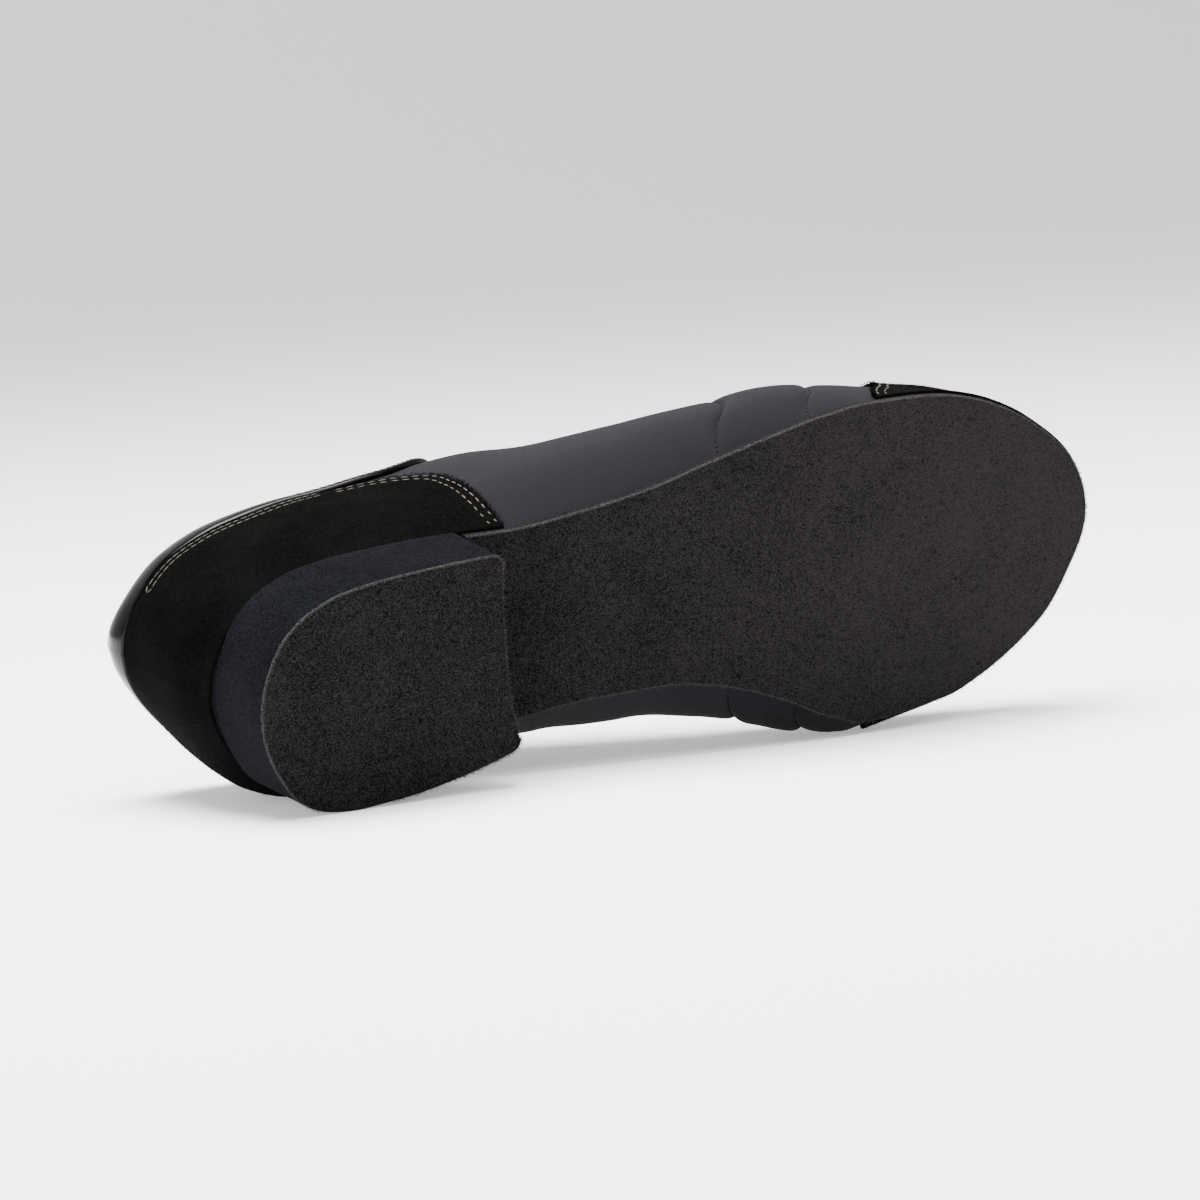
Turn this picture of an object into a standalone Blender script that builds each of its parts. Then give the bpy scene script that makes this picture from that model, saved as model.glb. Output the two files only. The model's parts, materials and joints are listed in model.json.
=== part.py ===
"""A right ballroom dance shoe lying on its inner side, sole towards the viewer.

Everything is modelled upright first, in the shoe's own frame: X runs from heel to toe, +Y is the inner
(medial) side, -Y the outer (lateral) side and Z is up from the floor that the shoe would stand on. The whole
assembly is then laid on its inner side, on the three points that it really touches.
"""

import math

import bmesh
import bpy
import numpy as np
from mathutils import Matrix, Vector

# Driving dimensions, in metres
SHOE_LENGTH = 0.288
BALL_WIDTH = 0.098
SEAT_WIDTH = 0.0655
HEEL_RISE = 0.0228
TOE_SPRING = 0.0062
TOE_SWING = 0.0035
INSTEP_HEIGHT = 0.088
BACK_HEIGHT = 0.060
ANKLE_HEIGHT = 0.0515
HEEL_LENGTH = 0.0805

# Walls, plates and clearances
SEAM_GAP = 0.0003
PANEL_GAP = 0.0008
WALL = 0.0022
SOLE_THICKNESS = 0.0026
SOLE_MARGIN = 0.0006
SOLE_EDGE_ROUND = 0.0005
INSOLE_THICKNESS = 0.0030
INSOLE_CLEARANCE = 0.0012
TOP_PIECE_THICKNESS = 0.0035
HEEL_FLARE = 0.0008
SUEDE_THICKNESS = 0.0011
PATENT_THICKNESS = 0.0013
TONGUE_THICKNESS = 0.0024
TONGUE_CLEARANCE = 0.00095
TONGUE_DROP = 0.0016
LACE_RADIUS = 0.0014

# The collar, throat and overlays, in metres along the shoe or across it
THROAT_HALF_GAP = 0.0062
BAND_HEIGHT = 0.0095
FACING_WIDTH = 0.0180
FACING_TIP_HALF_WIDTH = 0.0025
TONGUE_HALF_WIDTH = 0.0230
GROOVE_DEPTH = 0.0013
GROOVE_HALF_WIDTH = 0.0034
PUFF_HEIGHT = 0.0009
SEAM_LEAN = 0.0130
SEAM_SKEW = 0.0045
BREAST_HOLLOW = 0.0030
HEEL_BACK = 0.0006
BREAST_SKEW = 0.0040
HEEL_BULGE = 0.0009
TOE_BULGE = 0.0012

# Where things lie along the shoe, as shares of its length
COLLAR_END = 0.280
THROAT_END = 0.625
FACING_END = 0.655
TONGUE_TOP = 0.375
TONGUE_END = 0.640
TONGUE_CORNER = 0.020
TOE_CAP_START = 0.714
COUNTER_FRONT = 0.325
COUNTER_CORNER_START = 0.55
COUNTER_CORNER_RISE = 0.46
COUNTER_CORNER_REACH = 0.17
FACING_BLEND = 0.110
LACE_ROWS = 5
LACE_FIRST = 0.437
LACE_LAST = 0.600
FLEX_GROOVES = (0.548, 0.634)
LEAN_START = 0.42
LEAN_RUN_IN = 0.11
LEAN_FADE = 0.22
LEAN_LEVEL = 0.36
SKEW_START = 0.54
SWING_START = 0.60
BACK_LEAN_END = 0.30
NOSE_START = 0.80

# Share of the way up a section at which the last is widest, how upright its side starts, the share of that
# lowest stretch over which walls turn square to the sole, the level at which the vamp's padding is full, how
# far the toe rolls back for its height, and the highest level that the facings' lower edge reaches.
WIDEST_LEVEL = 0.22
FEATHER_RISE = 0.55
FLUSH_SHARE = 0.4
PUFF_LEVEL = 0.30
NOSE_ROLL = 0.25
FACING_TOP_LEVEL = 0.97

# The heel's joint as a share of its flare, the tongue's narrowing, its round top and the width left there.
JOINT_FLARE = 0.85
TONGUE_TAPER = 0.30
TONGUE_ROUND = 0.14
TONGUE_TOP_WIDTH = 0.60

# How finely the curved shells are divided
STATIONS = 42
PANEL_LEVELS = 9
BAND_LEVELS = 3
ROW_HEIGHT = BACK_HEIGHT / PANEL_LEVELS
OUTSOLE_ROWS = 30
BREAST_ROWS = 8
INSOLE_ROWS = 26
HEEL_ROWS = 15
HEEL_LINES = 5
TONGUE_ROWS = 17
TONGUE_LINES = 9
PLATE_LINES = 7

LATERAL = -1
MEDIAL = 1

# The face that the shoe rests on looks at least this much to the inner side.
STEEPEST_REST = 0.7

# Half widths of the sole from its centre line, as shares of the ball width.
SOLE_OUTLINE_COLUMNS = ("along", "lateral", "medial")
SOLE_OUTLINE = (
    (0.000, 0.000, 0.000),
    (0.020, 0.168, 0.168),
    (0.060, 0.270, 0.270),
    (0.115, 0.316, 0.316),
    (0.180, 0.328, 0.324),
    (0.250, 0.320, 0.304),
    (0.330, 0.308, 0.265),
    (0.400, 0.327, 0.251),
    (0.470, 0.359, 0.252),
    (0.535, 0.410, 0.288),
    (0.600, 0.455, 0.367),
    (0.650, 0.482, 0.451),
    (0.700, 0.492, 0.502),
    (0.750, 0.484, 0.499),
    (0.800, 0.467, 0.489),
    (0.850, 0.427, 0.446),
    (0.900, 0.359, 0.378),
    (0.940, 0.279, 0.300),
    (0.975, 0.187, 0.176),
    (1.000, 0.000, 0.000),
)

# Height of the sole's underside: the heel's rise and the toe's spring, each as a share of its own size.
SOLE_LINE_COLUMNS = ("along", "heel_rise", "toe_spring")
SOLE_LINE = (
    (0.00, 1.020, 0.00),
    (0.10, 1.000, 0.00),
    (0.20, 0.965, 0.00),
    (0.28, 0.895, 0.00),
    (0.34, 0.775, 0.00),
    (0.42, 0.565, 0.00),
    (0.50, 0.345, 0.00),
    (0.57, 0.155, 0.00),
    (0.63, 0.035, 0.00),
    (0.67, 0.000, 0.00),
    (0.73, 0.000, 0.00),
    (0.78, 0.000, 0.05),
    (0.83, 0.000, 0.17),
    (0.90, 0.000, 0.44),
    (0.96, 0.000, 0.76),
    (1.00, 0.000, 1.00),
)

# The last above its feather edge. ridge is a share of the instep height, swell_* are how far each side
# stands out past the sole as a share of the half width there, widest is the share of the ridge at which it
# does so, crest is the exponent of the arch, and ridge_shift moves the ridge as a share of the ball width.
LAST_COLUMNS = (
    "along",
    "ridge",
    "swell_lateral",
    "swell_medial",
    "widest",
    "crest",
    "ridge_shift",
)
LAST = (
    (0.00, 0.740, 0.08, 0.27, 0.26, 2.20, 0.000),
    (0.10, 0.960, 0.08, 0.30, 0.22, 2.20, 0.000),
    (0.20, 1.050, 0.11, 0.31, 0.22, 2.25, 0.010),
    (0.30, 1.060, 0.22, 0.42, 0.25, 2.20, 0.020),
    (0.38, 1.000, 0.31, 0.70, 0.28, 2.15, 0.035),
    (0.45, 0.885, 0.28, 0.72, 0.29, 2.05, 0.050),
    (0.52, 0.785, 0.21, 0.61, 0.29, 2.05, 0.060),
    (0.60, 0.675, 0.13, 0.37, 0.28, 2.10, 0.060),
    (0.66, 0.600, 0.09, 0.20, 0.27, 2.20, 0.055),
    (0.72, 0.525, 0.03, 0.13, 0.27, 2.25, 0.045),
    (0.80, 0.425, -0.03, 0.08, 0.28, 2.30, 0.035),
    (0.87, 0.345, -0.04, 0.06, 0.30, 2.35, 0.025),
    (0.94, 0.258, -0.04, 0.04, 0.34, 2.40, 0.010),
    (1.00, 0.165, 0.00, 0.00, 0.38, 2.40, 0.000),
)

# Height of the topline above the seat, as a share between the ankle's low point (0) and the back (1).
TOPLINE_COLUMNS = ("along", "rise")
TOPLINE = (
    (0.000, 1.00),
    (0.030, 0.96),
    (0.100, 0.62),
    (0.170, 0.22),
    (0.240, 0.02),
    (0.300, 0.20),
    (0.350, 0.86),
    (0.390, 1.85),
    (0.430, 3.20),
)

# Outline of the heel block's seat along its own length: half widths as shares of the seat width.
HEEL_COLUMNS = ("along", "lateral", "medial")
HEEL_OUTLINE = (
    (0.000, 0.000, 0.000),
    (0.060, 0.265, 0.280),
    (0.130, 0.375, 0.405),
    (0.230, 0.450, 0.475),
    (0.360, 0.493, 0.502),
    (0.520, 0.506, 0.504),
    (0.720, 0.503, 0.485),
    (0.880, 0.495, 0.455),
    (1.000, 0.487, 0.424),
)

# Height profile of the back seam: how far it stands back, as a share of the heel bulge, by share of height.
BACK_CURVE_COLUMNS = ("up", "out")
BACK_CURVE = (
    (0.00, 0.00),
    (0.15, 0.72),
    (0.35, 1.00),
    (0.60, 0.72),
    (0.85, 0.10),
    (1.00, -0.30),
    (2.20, -3.20),
)

# Half of a lace bar from its end to the throat: share of its reach over the facing, and how far it is sunk
# there, as a share of the lace's radius.
LACE_ROUTE_COLUMNS = ("reach", "drop")
LACE_ROUTE = (
    (1.00, 0.35),
    (0.93, 0.00),
    (0.72, 0.00),
    (0.48, -0.25),
)
LACE_END = 0.42
LACE_LIFT = 1.15

# Base colour, roughness and metallic of each finish.
SHARP_ANGLE = 40
FINISHES = {
    "neoprene": ((0.020, 0.021, 0.030), 0.62, 0.0),
    "suede": ((0.006, 0.006, 0.006), 0.95, 0.0),
    "patent": ((0.004, 0.004, 0.005), 0.08, 0.0),
    "sole_suede": ((0.012, 0.012, 0.012), 0.92, 0.0),
    "lining": ((0.030, 0.030, 0.032), 0.85, 0.0),
    "lace": ((0.008, 0.008, 0.009), 0.70, 0.0),
}


def column(table, names, name):
    """One named column of a table, with the first column that it is looked up by."""
    rows = np.array(table, float)
    return rows[:, 0], rows[:, names.index(name)]


def smooth(table, names, name, at, round_ends=False):
    """Smooth monotone lookup in a table. With round_ends, the curve meets zero upright at both ends."""
    key, value = column(table, names, name)
    at = np.clip(np.asarray(at, float), key[0], key[-1])
    if round_ends:
        key = np.arccos(1 - 2 * key)
        at = np.arccos(1 - 2 * at)
    step = np.diff(key)
    slope = np.diff(value) / step
    tangent = np.empty(len(key))
    tangent[0] = slope[0]
    tangent[-1] = slope[-1]
    left, right = slope[:-1], slope[1:]
    same_way = left * right > 0
    weight_left = 2 * step[1:] + step[:-1]
    weight_right = step[1:] + 2 * step[:-1]
    safe_left = np.where(same_way, left, 1.0)
    safe_right = np.where(same_way, right, 1.0)
    mean = (weight_left + weight_right) / (weight_left / safe_left + weight_right / safe_right)
    tangent[1:-1] = np.where(same_way, mean, 0.0)
    cell = np.clip(np.searchsorted(key, at, side="right") - 1, 0, len(key) - 2)
    width = step[cell]
    u = (at - key[cell]) / width
    rise = value[cell + 1] - value[cell]
    bend_in = tangent[cell] * width - rise
    bend_out = rise - tangent[cell + 1] * width
    return value[cell] + u * rise + u * (1 - u) * ((1 - u) * bend_in + u * bend_out)


def centre_line(along):
    """Sideways place of the sole's centre line, which swings to the big toe ahead of the waist."""
    ahead = np.clip((np.asarray(along, float) - SWING_START) / (1 - SWING_START), 0, 1)
    return TOE_SWING * ahead**2


def side_name(side):
    return "lateral" if side == LATERAL else "medial"


def sole_half_width(along, side):
    return BALL_WIDTH * smooth(SOLE_OUTLINE, SOLE_OUTLINE_COLUMNS, side_name(side), along, round_ends=True)


def sole_underside(along):
    """Height of the outsole's underside, with heel seat and forefoot above one floor."""
    heel = HEEL_RISE * smooth(SOLE_LINE, SOLE_LINE_COLUMNS, "heel_rise", along)
    toe = TOE_SPRING * smooth(SOLE_LINE, SOLE_LINE_COLUMNS, "toe_spring", along)
    return heel + toe


def feather_height(along):
    """Height of the last's bottom, which is the top of the outsole and of the heel block."""
    return sole_underside(along) + SOLE_THICKNESS


def last_value(name, along):
    return smooth(LAST, LAST_COLUMNS, name, along)


def last_point(side, along, level, relief=1.0):
    """A point of the last: along from heel to toe, level from the feather edge (0) to the ridge (1)."""
    along, level = np.broadcast_arrays(np.asarray(along, float), np.asarray(level, float))
    half = np.maximum(sole_half_width(along, side) - SOLE_MARGIN * np.sqrt(np.sin(np.pi * along)), 0)
    swell = half * last_value("swell_" + side_name(side), along)
    ridge = INSTEP_HEIGHT * last_value("ridge", along)
    widest = ridge * last_value("widest", along)
    power = 2 / last_value("crest", along)
    shift = side * BALL_WIDTH * last_value("ridge_shift", along)
    low = np.clip(level / WIDEST_LEVEL, 0, 1)
    high = np.clip((level - WIDEST_LEVEL) / (1 - WIDEST_LEVEL), 0, 1) * math.pi / 2
    body = half + swell * (2 * low - low**2)
    height = widest * (2 * FEATHER_RISE * low * (1 - low) + low**2)
    arch = np.clip(np.cos(high), 0, 1) ** power
    body = np.where(level > WIDEST_LEVEL, shift + (half + swell - shift) * arch, body)
    height = np.where(level > WIDEST_LEVEL, widest + (ridge - widest) * np.sin(high) ** power, height)
    padding = np.sin(np.clip(level / PUFF_LEVEL, 0, 1) * math.pi / 2)
    puff = relief * flex_relief(side, along, level) * padding
    body = body + puff * np.clip(1 - level, 0, 1) ** 0.5
    x = SHOE_LENGTH * along + end_shift(along, height)
    y = centre_line(along) + side * body
    z = feather_height(along) + SEAM_GAP + height + puff * np.clip(level, 0, 1)
    return np.stack([x, y, z], axis=-1)


def ramp(share):
    """Soft step from 0 to 1."""
    share = np.clip(share, 0, 1)
    return share**2 * (3 - 2 * share)


def leaned(side, share, level):
    """Place along the shoe of a seam over the vamp, which leans forward as it rises, the outer end most."""
    before_toe = ramp((1 - share) / LEAN_FADE)
    lean = SEAM_LEAN * ramp(level / LEAN_LEVEL) * ramp((share - LEAN_START) / LEAN_RUN_IN) * before_toe
    skew = SEAM_SKEW * (1 - level) * ramp((share - SKEW_START) / LEAN_RUN_IN) * before_toe
    return share + (lean - side * skew) / SHOE_LENGTH


def flex_relief(side, along, level):
    """Rise of the padded vamp between its stitched flex grooves, which are sunk where they cross it."""
    first, last = (leaned(side, groove, level) for groove in FLEX_GROOVES)
    between = np.clip((along - first) / (last - first), 0, 1)
    relief = PUFF_HEIGHT * np.sin(between * math.pi)
    for groove in (first, last):
        distance = abs(along - groove) * SHOE_LENGTH
        relief = relief - GROOVE_DEPTH * np.clip(1 - distance / GROOVE_HALF_WIDTH, 0, 1)
    return relief


def end_shift(along, height):
    """How far the back seam leans and the toe's nose swells, fading out along the shoe."""
    back = np.clip(1 - along / BACK_LEAN_END, 0, 1) ** 1.5
    lean = -HEEL_BULGE * smooth(BACK_CURVE, BACK_CURVE_COLUMNS, "out", height / BACK_HEIGHT)
    front = np.clip((along - NOSE_START) / (1 - NOSE_START), 0, 1) ** 2
    nose_height = INSTEP_HEIGHT * LAST[-1][LAST_COLUMNS.index("ridge")]
    nose = TOE_BULGE * np.sin(np.clip(height / nose_height, 0, 1) * math.pi)
    roll_back = NOSE_ROLL * np.clip(height, 0, None)
    return back * lean + front * (nose - roll_back)


def last_normal(side, along, level, relief=1.0):
    """Outward normal of the last's surface. It is level at the feather edge, and shared across the seams."""
    along, level = np.broadcast_arrays(np.asarray(along, float), np.asarray(level, float))
    on_seam = (along < 1e-6) | (along > 1 - 1e-6) | (level > 1 - 1e-6)
    own = one_sided_normal(side, along, level, relief)
    other = one_sided_normal(-side, along, level, relief)
    normal = np.where(on_seam[..., None], own + other, own)
    upright = np.clip(level / (FLUSH_SHARE * WIDEST_LEVEL), 0, 1)
    normal = np.stack([normal[..., 0], normal[..., 1], normal[..., 2] * upright], axis=-1)
    return normal / np.linalg.norm(normal, axis=-1, keepdims=True)


def one_sided_normal(side, along, level, relief):
    step_s, step_t = 0.0015, 0.008
    ahead = last_point(side, np.clip(along + step_s, 0, 1), level, relief)
    behind = last_point(side, np.clip(along - step_s, 0, 1), level, relief)
    above = last_point(side, along, np.clip(level + step_t, 0, 1), relief)
    below = last_point(side, along, np.clip(level - step_t, 0, 1), relief)
    normal = -side * np.cross(ahead - behind, above - below)
    length = np.linalg.norm(normal, axis=-1, keepdims=True)
    return normal / np.maximum(length, 1e-12)


def skin(side, along, level, lift):
    """A face of the upper or of a panel. Faces inside the shoe (lift below zero) have no flex grooves."""
    relief = np.where(np.asarray(lift) >= 0, 1.0, 0.0)
    relief = relief[..., 0] if relief.ndim > 2 else relief
    place = last_point(side, along, level, relief)
    return place + lift * last_normal(side, along, level, relief)


def throat_half_gap(along):
    """Half the gap between the two facings, closing in a round end at the vamp."""
    left = np.clip((THROAT_END - np.asarray(along, float)) * SHOE_LENGTH, 0, None)
    closing = np.sqrt(np.clip(1 - (1 - np.clip(left / THROAT_HALF_GAP, 0, 1)) ** 2, 0, 1))
    return THROAT_HALF_GAP * closing


def topline_height(along):
    """Height of the collar above the feather edge."""
    rise = smooth(TOPLINE, TOPLINE_COLUMNS, "rise", along)
    seat = feather_height(0.10)
    return seat + ANKLE_HEIGHT + (BACK_HEIGHT - ANKLE_HEIGHT) * rise - feather_height(along)


def level_at_height(along, height):
    """The level of a section at a height above the feather edge."""
    ridge = INSTEP_HEIGHT * last_value("ridge", along)
    widest = ridge * last_value("widest", along)
    share = np.clip((height - widest) / (ridge - widest), 0, 1)
    angle = np.arcsin(share ** (last_value("crest", along) / 2))
    return WIDEST_LEVEL + (1 - WIDEST_LEVEL) * angle / (math.pi / 2)


def level_at_distance(side, along, distance):
    """The level of a section at a sideways distance from its ridge."""
    half = sole_half_width(along, side) * (1 + last_value("swell_" + side_name(side), along))
    shift = side * BALL_WIDTH * last_value("ridge_shift", along)
    share = np.clip(distance / np.maximum(half - shift, 1e-6), 0, 1)
    angle = np.arccos(share ** (last_value("crest", along) / 2))
    return WIDEST_LEVEL + (1 - WIDEST_LEVEL) * angle / (math.pi / 2)


def topline_level(side, along):
    """Level of the opening's edge: the collar, then the throat, then 1 where the vamp is closed."""
    along = np.asarray(along, float)
    collar = level_at_height(along, topline_height(along))
    throat = level_at_distance(side, along, throat_half_gap(along))
    opened = np.where(along > COLLAR_END, np.minimum(collar, throat), collar)
    return np.where(along >= THROAT_END, 1.0, opened)


def station_shares():
    """Stations along the shoe, closer at heel and toe, with one at the throat's end."""
    even = np.linspace(0, 1, STATIONS + 1)
    cosine = (1 - np.cos(math.pi * even)) / 2
    shares = 0.62 * cosine + 0.38 * even
    fine = np.linspace(0, 1, 1001)
    for edge in (THROAT_END, FACING_END):
        share = np.interp(edge, leaned(MEDIAL, fine, 1.0), fine)
        shares[np.argmin(abs(shares - share))] = share
    reach = GROOVE_HALF_WIDTH / SHOE_LENGTH
    for groove in FLEX_GROOVES:
        shares = shares[abs(shares - groove) > 1.3 * reach]
        shares = np.append(shares, (groove - reach, groove, groove + reach))
    return np.sort(shares)


def new_object(name, shape, finish):
    """Links an object for a mesh or a curve, with its own material."""
    made = bpy.data.objects.new(name, shape)
    bpy.context.scene.collection.objects.link(made)
    colour, roughness, metallic = FINISHES[finish]
    material = bpy.data.materials.new(name + "_finish")
    material.use_nodes = True
    shader = material.node_tree.nodes["Principled BSDF"]
    shader.inputs["Base Color"].default_value = (*colour, 1)
    shader.inputs["Roughness"].default_value = roughness
    shader.inputs["Metallic"].default_value = metallic
    material.diffuse_color = (*colour, 1)
    shape.materials.append(material)
    return made


def new_solid(name, mesh, finish):
    """A mesh's object, shaded smooth except at its edges."""
    mesh.shade_smooth()
    mesh.set_sharp_from_angle(angle=math.radians(SHARP_ANGLE))
    return new_object(name, mesh, finish)


def mesh_from(name, points, faces, merge=2e-6):
    """A mesh from points and faces, with the points of seams and poles merged."""
    work = bmesh.new()
    corners = [work.verts.new(point) for point in points]
    for face in faces:
        distinct = list(dict.fromkeys(face))
        if len(distinct) > 2:
            work.faces.new([corners[index] for index in distinct])
    bmesh.ops.remove_doubles(work, verts=work.verts, dist=merge)
    bmesh.ops.dissolve_degenerate(work, edges=work.edges, dist=merge)
    bmesh.ops.recalc_face_normals(work, faces=work.faces)
    mesh = bpy.data.meshes.new(name)
    work.to_mesh(mesh)
    work.free()
    return mesh


def grid_faces(start, rows, columns, flip):
    """Quads of a grid of points stored row by row."""
    faces = []
    for row in range(rows - 1):
        for place in range(columns - 1):
            a = start + row * columns + place
            quad = (a, a + columns, a + columns + 1, a + 1)
            faces.append(quad[::-1] if flip else quad)
    return faces


def upper_grid(side):
    """The upper's own grid: (along, row), with the patent band's edge on the row PANEL_LEVELS."""
    rows = np.arange(PANEL_LEVELS + BAND_LEVELS + 1, dtype=float)
    share, row = np.meshgrid(station_shares(), rows, indexing="ij")
    return leaned(side, share, row_share(share, row)), row


def row_share(along, row):
    """Share of the way up to the topline of a row of the upper's grid."""
    line = band_line(along)
    above = (row - PANEL_LEVELS) / BAND_LEVELS
    return np.where(row > PANEL_LEVELS, line + (1 - line) * above, line * row / PANEL_LEVELS)


def shell(name, limits, low, high, finish):
    """A closed wall between two offsets of the last, whose two sides are welded where they meet."""
    known, inner, outer, tiles = {}, [], [], []
    for side in (LATERAL, MEDIAL):
        along, row = limits(side, *upper_grid(side))
        level = row_share(along, row) * topline_level(side, along)
        low_face = skin(side, along, level, low).reshape(-1, 3)
        high_face = skin(side, along, level, high).reshape(-1, 3)
        index = []
        for under, over in zip(low_face, high_face):
            key = tuple(np.round(over, 7) + 0.0)
            if key not in known:
                known[key] = len(outer)
                inner.append(tuple(under))
                outer.append(tuple(over))
            index.append(known[key])
        for quad in grid_faces(0, *along.shape, side == LATERAL):
            corners = [index[corner] for corner in quad]
            for tile in ((corners[0], corners[1], corners[2]), (corners[0], corners[2], corners[3])):
                if len(set(tile)) == 3:
                    tiles.append(tile)
    count = len(outer)
    faces = tiles + [[corner + count for corner in reversed(tile)] for tile in tiles]
    edges = {(a, b) for tile in tiles for a, b in zip(tile, tile[1:] + tile[:1])}
    faces += [[b, a, a + count, b + count] for a, b in sorted(edges) if (b, a) not in edges]
    return new_solid(name, mesh_from(name, outer + inner, faces), finish)


def whole(side, along, row):
    return along, row


def make_upper():
    """The neoprene upper: one hollow wall, open at the collar, at the throat and underneath."""
    return shell("upper", whole, -WALL, 0.0, "neoprene")


def counter_limits(side, along, row):
    """The suede counter ends in a rounded front edge and stops under the patent band."""
    along, row = along[:, : PANEL_LEVELS + 1], row[:, : PANEL_LEVELS + 1]
    corner = np.clip((row / PANEL_LEVELS - COUNTER_CORNER_START) / COUNTER_CORNER_RISE, 0, 1)
    back = COUNTER_CORNER_REACH * (1 - np.sqrt(1 - corner**2))
    return np.minimum(along, COUNTER_FRONT - back), np.minimum(row, PANEL_LEVELS - PANEL_GAP / ROW_HEIGHT)


def band_lower_edge(along):
    """Share of the way up at which the patent band starts."""
    collar = topline_height(along)
    top = level_at_height(along, collar)
    return level_at_height(along, collar - BAND_HEIGHT) / top


def band_line(along):
    """Lower edge of the patent band, which widens into the facings and closes in front of the throat."""
    top = np.minimum(topline_level(MEDIAL, along), topline_level(LATERAL, along))
    ahead = np.clip((FACING_END - along) * SHOE_LENGTH / FACING_WIDTH, 0, 1)
    width = FACING_TIP_HALF_WIDTH + FACING_WIDTH * np.sqrt(1 - (1 - ahead) ** 2)
    reach = throat_half_gap(along) + width
    facing = np.minimum(level_at_distance(LATERAL, along, reach) / top, FACING_TOP_LEVEL)
    blend = ramp((along - COLLAR_END) / FACING_BLEND)
    return band_lower_edge(along) * (1 - blend) + facing * blend


def band_limits(side, along, row):
    """The patent band takes the rows above its own edge, as far as the front of the facings."""
    end = np.argmin(abs(along[:, -1] - FACING_END))
    return along[: end + 1, PANEL_LEVELS:], row[: end + 1, PANEL_LEVELS:]


def toe_cap_limits(side, along, row):
    """The suede toe cap starts along a seam that runs beside the flex grooves."""
    level = row_share(TOE_CAP_START, row)
    return np.maximum(along, leaned(side, TOE_CAP_START, level)), row


def make_panel(name, limits, thickness, finish):
    """A panel stitched on the upper: the upper's own surface, lifted by the seam gap."""
    return shell(name, limits, SEAM_GAP, SEAM_GAP + thickness, finish)


def slab(name, lower, upper, finish):
    """A closed plate between two grids of points, with walls round its four edges."""
    rows, columns = lower.shape[:2]
    count = rows * columns
    points = [tuple(point) for point in np.concatenate([lower.reshape(-1, 3), upper.reshape(-1, 3)])]
    faces = grid_faces(0, rows, columns, True) + grid_faces(count, rows, columns, False)
    index = np.arange(count).reshape(rows, columns)
    border = [*index[:, 0], *index[-1, 1:], *index[-2::-1, -1], *index[0, -2:0:-1]]
    for here, ahead in zip(border, border[1:] + border[:1]):
        faces.append((int(here), int(ahead), int(ahead) + count, int(here) + count))
    return new_solid(name, mesh_from(name, points, faces), finish)


def make_tongue():
    """The tongue under the facings, from the vamp to above the topmost lace."""
    run = np.linspace(0, 1, TONGUE_ROWS)[:, None]
    across = np.linspace(-1, 1, TONGUE_LINES)[None, :]
    round_top = np.sqrt(1 - (1 - np.clip(run / TONGUE_ROUND, 0, 1)) ** 2)
    top_width = TONGUE_TOP_WIDTH + (1 - TONGUE_TOP_WIDTH) * round_top
    half = TONGUE_HALF_WIDTH * (1 - TONGUE_TAPER * run) * top_width
    along = TONGUE_TOP + (TONGUE_END - TONGUE_TOP) * run + TONGUE_CORNER * across**2 * (1 - round_top)
    side = np.where(across < 0, LATERAL, MEDIAL) + 0 * run
    distance = half * abs(across)
    under_facing = WALL + TONGUE_CLEARANCE + TONGUE_DROP * (1 - run[..., None])
    faces = []
    for depth in (under_facing + TONGUE_THICKNESS, under_facing):
        place = {}
        for one in (LATERAL, MEDIAL):
            level = level_at_distance(one, along, distance)
            place[one] = skin(one, along, level, -depth)
        faces.append(np.where(side[..., None] == LATERAL, place[LATERAL], place[MEDIAL]))
    return slab("tongue", faces[0], faces[1], "lining")


def plan_grid(along, half_lateral, half_medial, centre, columns):
    """Plan points across a plate: rows along the shoe, columns from the lateral to the medial edge."""
    across = np.linspace(-1, 1, columns)[None, :]
    lateral = half_lateral[:, None] * across
    medial = half_medial[:, None] * across
    y = centre[:, None] + np.where(across < 0, lateral, medial)
    return along[:, None] + 0 * across, y


def breast_place(y):
    """Where the heel's breast lies along the shoe: hollow in the middle and further forward inside."""
    share = np.clip(y / (SEAT_WIDTH / 2), -1, 1)
    return HEEL_LENGTH + BREAST_HOLLOW * (share**2 - 0.35) + BREAST_SKEW * 0.5 * (share + share**3) / 2


def make_outsole():
    """The suede outsole from the heel's breast to the toe, with a slightly rounded lower edge."""
    start = HEEL_LENGTH / SHOE_LENGTH
    run = np.linspace(0, 1, OUTSOLE_ROWS)
    along = start + (1 - start) * np.sin(run * math.pi / 2) ** 1.15
    half_lateral = sole_half_width(along, LATERAL)
    half_medial = sole_half_width(along, MEDIAL)
    centre = centre_line(along)
    grids = []
    for inset in (SOLE_EDGE_ROUND, 0.0):
        lateral = np.maximum(half_lateral - inset, 0)
        medial = np.maximum(half_medial - inset, 0)
        share, y = plan_grid(along, lateral, medial, centre, PLATE_LINES)
        x = share * SHOE_LENGTH
        fade = np.clip(1 - np.arange(OUTSOLE_ROWS) / BREAST_ROWS, 0, 1)[:, None]
        x = x + fade * (breast_place(y) + SEAM_GAP - HEEL_LENGTH)
        grids.append((x, y))
    (x_low, y_low), (x_top, y_top) = grids
    lower = np.stack([x_low, y_low, sole_underside(x_low / SHOE_LENGTH)], axis=-1)
    upper = np.stack([x_top, y_top, feather_height(x_top / SHOE_LENGTH)], axis=-1)
    return slab("outsole", lower, upper, "sole_suede")


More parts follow.
